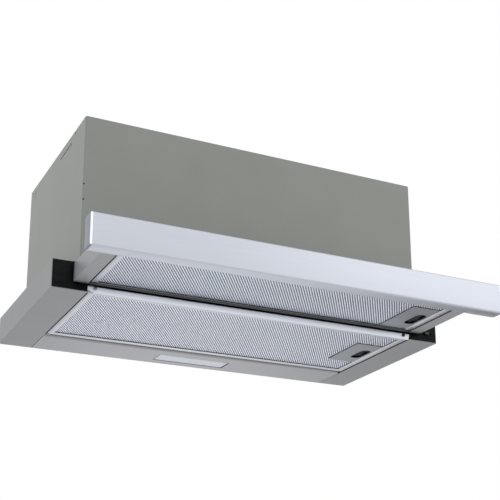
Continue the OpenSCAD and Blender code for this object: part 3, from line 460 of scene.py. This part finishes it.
def make(name, points, faces, node, smooth_deg=35, closed=True, slot=None):
    """A piece from points and a list of arrays of corner numbers, in the place of a CAD node. A
    closed one has its faces turned outwards."""
    mesh = bpy.data.meshes.new(name)
    sides = np.concatenate([np.full(len(f), f.shape[1]) for f in faces])
    corners = np.concatenate([f.ravel() for f in faces])
    mesh.vertices.add(len(points))
    mesh.vertices.foreach_set("co", np.asarray(points, np.float32).ravel())
    mesh.loops.add(len(corners))
    mesh.loops.foreach_set("vertex_index", corners.astype(np.int32))
    mesh.polygons.add(len(sides))
    starts = np.concatenate([[0], np.cumsum(sides)[:-1]])
    mesh.polygons.foreach_set("loop_start", starts.astype(np.int32))
    mesh.update(calc_edges=True)
    mesh.validate()
    if closed:
        shell = bmesh.new()
        shell.from_mesh(mesh)
        bmesh.ops.recalc_face_normals(shell, faces=shell.faces)
        shell.to_mesh(mesh)
        shell.free()
    return place_piece(name, mesh, node, smooth_deg, slot)


def place_piece(name, mesh, node, smooth_deg, slot=None, finish=None):
    """Gives a mesh its object, body and material, which is finish or else its slot's, and hides the
    node that it stands for."""
    slot = slot or SLOT_OF[node]
    mesh.materials.clear()
    mesh.materials.append(MATERIALS[finish or slot])
    mesh.shade_smooth()
    mesh.set_sharp_from_angle(angle=math.radians(smooth_deg))
    piece = bpy.data.objects.new(name, mesh)
    bpy.context.scene.collection.objects.link(piece)
    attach(piece, BODY_OF[node])
    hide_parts(node)
    return piece


# A copied node: how near its doubles lie, under which angle two faces are one, and from which
# angle an edge is rounded
DOUBLES = 0.002 * MM
FLAT_DEG = 1
EDGE_DEG = 35


def soften(node, name, width_mm, finish=None):
    """A copy of a CAD node with its doubles merged, its flat faces joined and its edges rounded."""
    shell = bmesh.new()
    shell.from_mesh(frame["nodes"][node].data)
    bmesh.ops.remove_doubles(shell, verts=shell.verts, dist=DOUBLES)
    bmesh.ops.dissolve_limit(shell, angle_limit=math.radians(FLAT_DEG), verts=shell.verts,
                             edges=shell.edges)
    mesh = bpy.data.meshes.new(name)
    shell.to_mesh(mesh)
    shell.free()
    piece = place_piece(name, mesh, node, EDGE_DEG, finish=finish)
    bevel = piece.modifiers.new("rounded_edges", "BEVEL")
    bevel.width = width_mm * MM
    bevel.segments = 2
    bevel.limit_method = "ANGLE"
    bevel.angle_limit = math.radians(EDGE_DEG)
    bevel.use_clamp_overlap = True
    bevel.miter_outer = "MITER_ARC"
    weighted = piece.modifiers.new("flat_faces_stay_flat", "WEIGHTED_NORMAL")
    weighted.keep_sharp = True


# The cup over each finger slot: how far it starts inside the plate's left edge and lies off the
# plate's middle, and its length
CUP_INSET = 7 * MM
CUP_SHIFT = 2 * MM
CUP_W = 50 * MM

# Expanded metal: pitches along X and Y, the hole's shares of its diamond, the sheet, its lean, and
# how far it stays inside the frame's fold
MESH_PITCH = (4.0 * MM, 6.13 * MM)
MESH_HOLE = (0.86, 0.45)
MESH_SHEET = 0.32 * MM
MESH_TILT = 0.06 * MM
MESH_EDGE = 0.4 * MM

# The crimped foil behind it: its wave and its thickness
CORE_WAVE = 9 * MM
CORE_SHEET = 0.3 * MM


def expanded_sheet(low, high, pitch, hole, tilt, z, gap=None):
    """Expanded metal as a lattice of diamonds, in rows that are half a pitch apart. The pitch is
    trimmed to fill the sheet. A diamond's corners are half a pitch from its centre. Its hole is the
    share hole[0] of it along one diagonal row and hole[1] across that, and the hole's height falls
    along Y by tilt, as each strand leans. gap is a box, (low, high), that is left out."""
    size = np.array(high) - low
    count = np.round(size / (np.array(pitch) / 2)).astype(int)
    half = size / count
    i, j = np.meshgrid(np.arange(1, count[0]), np.arange(1, count[1]), indexing="ij")
    keep = (i + j) % 2 == 0
    centre = np.stack([i[keep], j[keep]], -1)
    at = np.array(low) + centre * half
    if gap is not None:
        clear = ~((at > np.array(gap[0]) - half) & (at < np.array(gap[1]) + half)).all(1)
        centre, at = centre[clear], at[clear]
    step = np.array([[1, 0], [0, 1], [-1, 0], [0, -1]])
    outer = (centre[:, None] + step).reshape(-1, 2)
    shared, number = np.unique(outer, axis=0, return_inverse=True)
    number = number.reshape(-1, 4)
    rim = np.column_stack([np.array(low) + shared * half, np.full(len(shared), z)])
    along, across = np.array([0.5, 0.5]) * hole[0], np.array([0.5, -0.5]) * hole[1]
    corner = np.array([along + across, along - across, -along - across, across - along])
    holes = at[:, None] + corner * half
    height = np.broadcast_to(z - tilt * corner[:, 1], holes.shape[:2])
    holes = np.concatenate([holes, height[..., None]], -1).reshape(-1, 3)
    inner = len(rim) + np.arange(len(centre) * 4).reshape(-1, 4)
    following = np.roll(np.arange(4), -1)
    faces = np.stack([number, number[:, following], inner[:, following], inner], -1).reshape(-1, 4)
    return np.concatenate([rim, holes]), faces


def thicken(piece, sheet):
    """Gives a surface the thickness of its sheet, half to each side."""
    wall = piece.modifiers.new("sheet", "SOLIDIFY")
    wall.thickness = sheet
    wall.offset = 0


def filter_face(side):
    """The expanded sheet of one filter, from just inside its frame and around the latch's cup."""
    node = f"{side}_filter_mesh"
    low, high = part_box(node)
    cup_low, cup_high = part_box(f"{side}_filter_handle")
    cup_y = (cup_low.y + cup_high.y) / 2 + CUP_SHIFT
    gap = ((cup_low.x + CUP_INSET, cup_y - CUP_W / 2), (cup_high.x, cup_y + CUP_W / 2))
    points, faces = expanded_sheet((low.x + MESH_EDGE, low.y + MESH_EDGE),
                                   (high.x - MESH_EDGE, high.y - MESH_EDGE),
                                   MESH_PITCH, MESH_HOLE, MESH_TILT, (low.z + high.z) / 2, gap)
    piece = make(f"{side}_filter_expanded_face", points, [faces], node, smooth_deg=30, closed=False)
    thicken(piece, MESH_SHEET)


def filter_core(side):
    """Crimped foil behind the face: its height is the mean of two sine waves whose crests cross,
    in X + Y / 3 and in X - Y / 3."""
    node = f"{side}_filter_core"
    low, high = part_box(node)
    swing = (high.z - low.z - CORE_SHEET) / 2
    x = np.linspace(low.x, high.x, int((high.x - low.x) / (CORE_WAVE / 6)))
    y = np.linspace(low.y, high.y, int((high.y - low.y) / (CORE_WAVE / 3)))
    gx, gy = np.meshgrid(x, y)
    turn = 2 * math.pi / CORE_WAVE
    waves = np.sin(turn * (gx + gy / 3)) + np.sin(turn * (gx - gy / 3))
    gz = (low.z + high.z) / 2 + swing * waves / 2
    points = np.stack([gx, gy, gz], -1).reshape(-1, 3)
    faces = quads_of_grid(len(y), len(x))
    piece = make(f"{side}_filter_crimped_core", points, [faces], node, smooth_deg=60, closed=False)
    thicken(piece, CORE_SHEET)


def loft(rings):
    """Walls between rings of points, an array of rings by points by 3, and a face on each end."""
    rings = np.asarray(rings, float)
    count, size = rings.shape[:2]
    walls = quads_of_grid(count, size, True)
    ends = [np.arange(size)[None, ::-1], (count - 1) * size + np.arange(size)[None]]
    return rings.reshape(-1, 3), [walls, *ends]


def join(shells):
    """Several shells as one list of points and faces."""
    points, faces, count = [], [], 0
    for shell_points, shell_faces in shells:
        points.append(shell_points)
        faces += [corners + count for corners in shell_faces]
        count += len(shell_points)
    return np.concatenate(points), faces


def bent_sheet(corners, radius, sheet, steps=5):
    """Section of a bent sheet as a closed loop. Its middle line runs through the corners and turns
    at each inner one with the radius, and both ends of the sheet are round."""
    corners = np.asarray(corners, float)
    way = np.diff(corners, axis=0)
    way /= np.linalg.norm(way, axis=1)[:, None]
    left = np.stack([-way[:, 1], way[:, 0]], -1)
    line, across = [corners[0]], [left[0]]
    for i in range(1, len(corners) - 1):
        cross = way[i - 1][0] * way[i][1] - way[i - 1][1] * way[i][0]
        turn = math.atan2(cross, way[i - 1] @ way[i])
        side = math.copysign(1, turn)
        start = corners[i] - radius * math.tan(abs(turn) / 2) * way[i - 1]
        centre = start + side * radius * left[i - 1]
        for share in np.linspace(0, 1, steps + 1):
            cos, sin = math.cos(turn * share), math.sin(turn * share)
            normal = np.array([[cos, -sin], [sin, cos]]) @ left[i - 1]
            line.append(centre - side * radius * normal)
            across.append(normal)
    line = np.array(line + [corners[-1]])
    across = np.array(across + [left[-1]])
    half = sheet / 2
    ends = []
    for at, out, along in ((line[-1], across[-1], way[-1]), (line[0], -across[0], -way[0])):
        angle = np.linspace(0, math.pi, 5)[1:-1, None]
        ends.append(at + half * (np.cos(angle) * out + np.sin(angle) * along))
    return np.concatenate([line + half * across, ends[0], (line - half * across)[::-1], ends[1]])


def along_x(section, x0, x1):
    """A section of Y and Z, carried along X."""
    rings = [np.column_stack([np.full(len(section), x), section]) for x in (x0, x1)]
    return loft(rings)


def rounded_rectangle(low, high, radius, steps=4):
    """A rectangle with round corners, as a closed loop of 2-D points: a quarter circle about each
    of four centres, which lie the radius inside the corners."""
    low, high = np.asarray(low) + radius, np.asarray(high) - radius
    angle = np.linspace(0, math.pi / 2, steps + 1)
    centres = ((high[0], high[1]), (low[0], high[1]), (low[0], low[1]), (high[0], low[1]))
    loop = []
    for quarter, centre in enumerate(centres):
        turned = angle + quarter * math.pi / 2
        loop.append(np.column_stack([np.cos(turned), np.sin(turned)]) * radius + centre)
    return np.concatenate(loop)


# Ribs in the recess of each black front plate: heights, the recess's sides, the rib's half height,
# and how far its foot and its crest lie behind the plate's front
PLATE_RIBS_Z = (6.5 * MM, 9.2 * MM, 20.5 * MM, 32.4 * MM)
PLATE_RECESS_X = (273.9 * MM, 295.3 * MM)
PLATE_RIB = 0.8 * MM
PLATE_RIB_FOOT = 0.6 * MM
PLATE_RIB_CREST = 0.1 * MM
PLATE_ROUND_MM = 0.3


def front_plate(side, sign):
    """A black front plate: the CAD node with its edges rounded, and ribs across its recess. Each
    rib is a trapezium in Y and Z, half as high at its crest, carried along X."""
    node = f"{side}_front_plate"
    soften(node, f"{node}_ribbed", PLATE_ROUND_MM)
    foot, crest = (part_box(node)[0].y + depth for depth in (PLATE_RIB_FOOT, PLATE_RIB_CREST))
    ends = sorted(sign * x for x in PLATE_RECESS_X)
    shells = [along_x(np.array([(foot, z - PLATE_RIB), (foot, z + PLATE_RIB),
                                (crest, z + PLATE_RIB / 2), (crest, z - PLATE_RIB / 2)]), *ends)
              for z in PLATE_RIBS_Z]
    make(f"{node}_ribs", *join(shells), node, smooth_deg=20)


# The filter frames' folded sheet, how far they stand out from the mesh, their height, fold, seams
# and widths: left, right, and the front and the back of each. Then their hinge pegs, and the
# latch's hole: half its length, and its lower and upper edge.
FOIL = 0.8 * MM
FRAME_OUT = 1.1 * MM
FRAME_H = 9 * MM
FRAME_FOLD = 0.9 * MM
FRAME_SEAM = 0.12 * MM
FRAME_LEFT = 9 * MM
FRAME_RIGHT = 12 * MM
FRAME_ENDS = {"base": (6.6 * MM, 10.5 * MM), "tray": (7.6 * MM, 1.6 * MM)}
PEG_R = 1.25 * MM
PEG_IN = 2.4 * MM
PEG_RISE = 1.8 * MM
PEG_L = 2.2 * MM
LATCH_HALF = 10.4 * MM
LATCH_HOLE = (2.2 * MM, 5.8 * MM)


def filter_frame(side):
    """Four bars of bent channel, with a hole for the latch in the right one and two hinge pegs at
    the left. A mitre's points have the X of the side bar's section and the Y of the end bar's."""
    node = f"{side}_filter_frame"
    mesh_low, mesh_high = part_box(f"{side}_filter_mesh")
    z0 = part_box(node)[0].z
    x0, x1 = mesh_low.x - FRAME_OUT, mesh_high.x + FRAME_OUT
    y0, y1 = mesh_low.y - FRAME_OUT, mesh_high.y + FRAME_OUT
    half = FOIL / 2

    def channel(width):
        return bent_sheet([(width - half, half), (half, half), (half, FRAME_H - half),
                           (width - half, FRAME_H - half)], FRAME_FOLD, FOIL)

    front, back = (channel(width) for width in FRAME_ENDS[side])
    left, right = channel(FRAME_LEFT), channel(FRAME_RIGHT)
    z = z0 + front[:, 1]

    def corner(x_side, y_side):
        x = x0 + left[:, 0] if x_side < 0 else x1 - right[:, 0]
        y = y0 + front[:, 0] if y_side < 0 else y1 - back[:, 0]
        return np.column_stack([x, y, z])

    seam_x, seam_y = np.array([FRAME_SEAM / 2, 0, 0]), np.array([0, FRAME_SEAM / 2, 0])
    bars = [loft([corner(-1, -1) + seam_x, corner(1, -1) - seam_x]),
            loft([corner(-1, 1) + seam_x, corner(1, 1) - seam_x]),
            loft([corner(-1, -1) + seam_y, corner(-1, 1) - seam_y])]
    plate_low, plate_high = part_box(f"{side}_filter_handle")
    latch_y = (plate_low.y + plate_high.y) / 2 + CUP_SHIFT

    def across(section, y):
        return np.column_stack([x1 - section[:, 0], np.full(len(section), y), z0 + section[:, 1]])

    below = bent_sheet([(FRAME_RIGHT - half, half), (half, half), (half, LATCH_HOLE[0])],
                       FRAME_FOLD, FOIL)
    above = bent_sheet([(half, LATCH_HOLE[1]), (half, FRAME_H - half),
                        (FRAME_RIGHT - half, FRAME_H - half)], FRAME_FOLD, FOIL)
    hole = (latch_y - LATCH_HALF, latch_y + LATCH_HALF)
    bars += [loft([corner(1, -1) + seam_y, across(right, hole[0])]),
             loft([across(right, hole[1]), corner(1, 1) - seam_y]),
             loft([across(below, hole[0]), across(below, hole[1])]),
             loft([across(above, hole[0]), across(above, hole[1])])]
    peg_x, peg_z = x0 + PEG_IN, z0 + PEG_RISE
    for peg_y0, peg_y1 in ((y0 - PEG_L, y0 + FOIL), (y1 - FOIL, y1 + PEG_L)):
        bars.append(round_bar_y(peg_x, peg_z, peg_y0, peg_y1, PEG_R))
    make(f"{side}_filter_folded_frame", *join(bars), node, smooth_deg=30)


def round_bar_y(x, z, y0, y1, radius, sides=24):
    """A round bar along Y: circles, a fifth smaller at both ends."""
    angle = np.linspace(0, 2 * math.pi, sides, endpoint=False)
    edge = 0.2 * radius
    rings = [np.column_stack([x + r * np.cos(angle), np.full(sides, y), z + r * np.sin(angle)])
             for y, r in ((y0, radius - edge), (y0 + edge, radius),
                          (y1 - edge, radius), (y1, radius - edge))]
    return loft(rings)


# The fascia's sheet and fold, and the lip behind its lower edge: its height and half its length
FASCIA_SHEET = 1.2 * MM
FASCIA_FOLD = 1.4 * MM
FASCIA_LIP = 11 * MM
LIP_X = 250 * MM

# Its caps: depth of the head and of its seam, and round of its rim, followed by the rim's profile
# as depth and inset in shares of that round, with less of the inset at the back. Then the corners,
# and the plug's sheet, fold, and distance from the cap's front and back.
CAP_FRONT = 3 * MM
CAP_SEAM = 0.15 * MM
CAP_ROUND = 1.0 * MM
CAP_RIM = ((0, 1), (0.1, 0.55), (0.3, 0.28), (0.6, 0.08), (1, 0))
CAP_RIM_BACK = 0.3
CAP_CORNER = 2 * MM
CAP_PLUG = 1.0 * MM
CAP_PLUG_FOLD = 0.8 * MM
CAP_PLUG_IN = 1.9 * MM
CAP_PLUG_BACK = 1.5 * MM


def fascia_section(lip):
    """The channel's section in Y and Z. lip adds the lip up behind its lower edge."""
    low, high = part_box("fascia")
    half = FASCIA_SHEET / 2
    y0, y1 = low.y + half, high.y - half
    z0, z1 = low.z + half, high.z - half
    path = [(y1, z1), (y0, z1), (y0, z0), (y1, z0)]
    if lip:
        path.append((y1, low.z + FASCIA_LIP - half))
    return bent_sheet(path, FASCIA_FOLD, FASCIA_SHEET, steps=8)


def fascia():
    """The steel channel in three lengths. Only the middle one has the lip."""
    low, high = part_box("fascia")
    middle, end = fascia_section(True), fascia_section(False)
    shells = [along_x(end, low.x, -LIP_X), along_x(middle, -LIP_X, LIP_X),
              along_x(end, LIP_X, high.x)]
    make("fascia_folded_channel", *join(shells), "fascia", smooth_deg=30)


def fascia_cap(side, sign):
    """A moulded cap, and the thin plug that holds it in the channel. The cap's rings are rounded
    rectangles, taken in along CAP_RIM. The plug is a bent section carried along X."""
    node = f"fascia_{side}_cap"
    low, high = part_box(node)
    outer = sign * max(abs(low.x), abs(high.x))
    inner = sign * min(abs(low.x), abs(high.x))
    steps = [(depth * CAP_ROUND, inset * CAP_ROUND) for depth, inset in CAP_RIM]
    rings = []
    for depth, inset in steps + [(CAP_FRONT - CAP_SEAM, 0)]:
        loop = rounded_rectangle((low.y + inset, low.z + inset),
                                 (high.y - CAP_RIM_BACK * inset, high.z - inset),
                                 CAP_CORNER, steps=6)
        rings.append(np.column_stack([np.full(len(loop), outer - sign * depth), loop]))
    front, back = low.y + CAP_PLUG_IN, high.y - CAP_PLUG_BACK
    bottom, top = low.z + CAP_PLUG_IN, high.z - CAP_PLUG_IN
    tongue = bent_sheet([(back, top), (front, top), (front, bottom), (back, bottom)],
                        CAP_PLUG_FOLD, CAP_PLUG)
    plug = along_x(tongue, inner, outer - sign * (CAP_FRONT - CAP_SEAM))
    make(f"{node}_moulded", *join([loft(rings), plug]), node, smooth_deg=40)


# The rail: height of its face, depth of the ledge, lean of the face, sheet and fold
RAIL_FACE = 9.4 * MM
RAIL_STEP = 4.5 * MM
RAIL_SLANT = 1.6 * MM
RAIL_SHEET = 1 * MM
RAIL_FOLD = 0.8 * MM


def front_rail():
    """The rail's bent section, carried along X: a face that leans back to its lower edge, a ledge
    set back under the tray, and a flange on top of that."""
    low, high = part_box("front_rail")
    half = RAIL_SHEET / 2
    section = bent_sheet([(low.y + RAIL_SLANT + half, low.z + half),
                          (low.y + half, low.z + RAIL_FACE - half),
                          (low.y + RAIL_STEP, low.z + RAIL_FACE - half),
                          (low.y + RAIL_STEP, high.z - half), (high.y, high.z - half)],
                         RAIL_FOLD, RAIL_SHEET)
    make("front_rail_folded", *along_x(section, low.x, high.x), "front_rail", smooth_deg=30)


# The lens: its corners, the rim's width at the sides and the ends, thickness and edge, and the
# face's profile: in from the rim, and up from its lowest place
LENS_ROUND = 1.5 * MM
LENS_RIM = np.array([3.8 * MM, 3 * MM])
LENS_RIM_H = 1.2 * MM
LENS_EDGE = 0.2 * MM
LENS_FACE_MM = ((0, 0.7), (0.2, 0.35), (0.6, 0.15), (3, 0.04), (9, 0))


def lamp_lens():
    """The lens: a rim above the strip, and a face with round edges and a slight crown below it. Its
    rings are rounded rectangles, each taken in by a pair of widths at a height."""
    low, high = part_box("lamp_lens")
    top, rim = high.z, high.z - LENS_RIM_H
    steps = [(LENS_EDGE, top), (0, top - LENS_EDGE), (0, rim), (LENS_RIM, rim)]
    steps += [(LENS_RIM + inset * MM, low.z + rise * MM) for inset, rise in LENS_FACE_MM]
    rings = []
    for inset, z in steps:
        loop = rounded_rectangle(np.array(low[:2]) + inset, np.array(high[:2]) - inset, LENS_ROUND)
        rings.append(np.column_stack([loop, np.full(len(loop), z)]))
    make("lamp_moulded_lens", *loft(rings), "lamp_lens", smooth_deg=40)


# A screw's head, in shares of its radius: where its rings lie, its cross's half width and length,
# and the slope of the cross's walls. In shares of its height: the fall to the rim, and the cross.
HEAD_RINGS = (0.02, 0.1, 0.16, 0.22, 0.3, 0.4, 0.5, 0.58, 0.64, 0.7, 0.8, 0.9, 0.97, 1.0)
CROSS_HALF = 0.2
CROSS_REACH = 0.62
CROSS_SLOPE = 0.08
HEAD_FALL = 0.62
CROSS_DEPTH = 0.8


def screw(place, way, radius, height, length):
    """A pan-head screw with a cross recess. The head's height falls with the fourth power of the
    radius. Its polar grid is lowered in the cross, by the product of two straight steps, one in the
    radius and one across each arm."""
    way = np.asarray(way, float)
    side = np.cross(way, (0, 0, 1.0)) if abs(way[2]) < 0.9 else np.array([1.0, 0, 0])
    side /= np.linalg.norm(side)
    third = np.cross(way, side)
    angle = np.linspace(0, 2 * math.pi, 48, endpoint=False)
    r, a = np.meshgrid(np.array(HEAD_RINGS) * radius, angle, indexing="ij")
    x, y = r * np.cos(a), r * np.sin(a)
    dome = height * (1 - HEAD_FALL * (r / radius) ** 4)
    arm = np.minimum(abs(x), abs(y)) / radius
    inside = (np.clip((CROSS_HALF - arm) / CROSS_SLOPE, 0, 1)
              * np.clip((CROSS_REACH - r / radius) / CROSS_SLOPE, 0, 1))
    z = dome - CROSS_DEPTH * height * inside
    head = [x[..., None] * side + y[..., None] * third + z[..., None] * way]
    for shaft_r, depth in ((radius, 0.0), (0.5 * radius, 0.0), (0.5 * radius, -length)):
        ring = np.stack([np.cos(angle) * shaft_r, np.sin(angle) * shaft_r], -1)
        head.append((ring[:, :1] * side + ring[:, 1:] * third + depth * way)[None])
    return loft(np.concatenate(head) + np.asarray(place))


def screws(name, node, places, way, radius, height, length, slot=None):
    """Screws of one node. way is turned over for places where its sign is -1."""
    shells = [screw(place, np.array(way) * sign, radius, height, length) for place, sign in places]
    make(name, *join(shells), node, slot=slot)


# A knob: its ridges and their depth, how far its face lies behind the box, its thickness, the round
# of its sides, and the profile of both ends as depth and inset. Its stem: half its section, its
# corners, and its reach into the knob.
KNOB_RIDGES = 3
KNOB_RIDGE = 0.56 * MM
KNOB_BACK = 0.05 * MM
KNOB_THICK = 3 * MM
KNOB_SIDE = 0.5 * MM
KNOB_ENDS = ((0, 0.35 * MM), (0.1 * MM, 0.12 * MM), (0.35 * MM, 0))
STEM_HALF = np.array([1.5 * MM, 1.2 * MM])
STEM_ROUND = 0.3 * MM
STEM_IN = 0.5 * MM


def knob(node):
    """A slide knob with ridges across its face, and the stem behind it. The face's depth along X is
    a raised cosine, with a parabola over the last eighth of each side."""
    low, high = (np.array(corner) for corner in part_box(node))
    middle = (low + high) / 2
    back = low[1] + KNOB_THICK
    span = np.linspace(-1, 1, 49)
    face_x = middle[0] + span * (high[0] - low[0]) / 2
    hollow = KNOB_RIDGE / 2 * (1 + np.cos(math.pi * KNOB_RIDGES * (span + 1))) * (abs(span) < 0.999)
    side = KNOB_SIDE * np.clip(abs(span) * 8 - 7, 0, 1) ** 2
    loop = np.concatenate([np.column_stack([face_x, low[1] + KNOB_BACK + hollow + side]),
                           [(high[0], back), (low[0], back)]])
    centre = np.array([middle[0], (low[1] + back) / 2])
    size = np.array([high[0] - low[0], back - low[1]])
    rings = []
    for z, inset in ([(low[2] + depth, inset) for depth, inset in KNOB_ENDS]
                     + [(high[2] - depth, inset) for depth, inset in KNOB_ENDS[::-1]]):
        shrunk = centre + (loop - centre) * (1 - 2 * inset / size)
        rings.append(np.column_stack([shrunk, np.full(len(loop), z)]))
    stem = rounded_rectangle(middle[[0, 2]] - STEM_HALF, middle[[0, 2]] + STEM_HALF, STEM_ROUND)
    stem_rings = [np.column_stack([stem[:, 0], np.full(len(stem), y), stem[:, 1]])
                  for y in (back - STEM_IN, high[1])]
    make(f"{node}_ridged", *join([loft(rings), loft(stem_rings)]), node)


# Where the right one of each pair of screws sits, and the screws' sizes
RAIL_SCREW = (240 * MM, -59 * MM, 6 * MM)
RAIL_SCREW_SIZE = {"radius": 2.5 * MM, "height": 0.8 * MM, "length": 2 * MM}
CASING_SCREW = (262 * MM, 202 * MM, 243.5 * MM)
CASING_SCREW_SIZE = {"radius": 3 * MM, "height": 1.0 * MM, "length": 3 * MM}

# CAD nodes that only have their edges rounded, by so many mm
SOFTENED = {
    "body_wrap": 0.25, "top_panel": 0.25, "rear_panel": 0.25, "base_frame": 0.3, "rear_strip": 0.25,
    "tray_pan": 0.3,
    "base_filter_handle": 0.25, "tray_filter_handle": 0.25, "duct_collar": 0.3, "collar_ring": 0.4,
}
# The tray pan takes the base's paint made paler, as painted light
PAINTED_AS = {"tray_pan": "base_paint_lit"}

set_camera()
set_world()
set_lamps()
set_floor()
colour_cad_nodes()

for filter_side in ("base", "tray"):
    filter_face(filter_side)
    filter_core(filter_side)
    filter_frame(filter_side)
fascia()
fascia_cap("left", -1)
fascia_cap("right", 1)
front_plate("left", -1)
front_plate("right", 1)
front_rail()
lamp_lens()
knob("light_knob")
knob("speed_knob")
# The rail's screw beside the switches is given dark steel as painted shade, the other bright
for end, sign, slot_name in (("left", -1, "zinc_steel"), ("right", 1, "latch")):
    screws(f"rail_{end}_pan_screw", "rail_screws", [((sign * RAIL_SCREW[0], *RAIL_SCREW[1:]), 1)],
           (0, -1, 0), **RAIL_SCREW_SIZE, slot=slot_name)
screws("casing_pan_screws", "casing_screws",
       [((sign * CASING_SCREW[0], *CASING_SCREW[1:]), sign) for sign in (-1, 1)],
       (1, 0, 0), **CASING_SCREW_SIZE)
for node_name, round_mm in SOFTENED.items():
    soften(node_name, node_name + "_finished", round_mm, finish=PAINTED_AS.get(node_name))
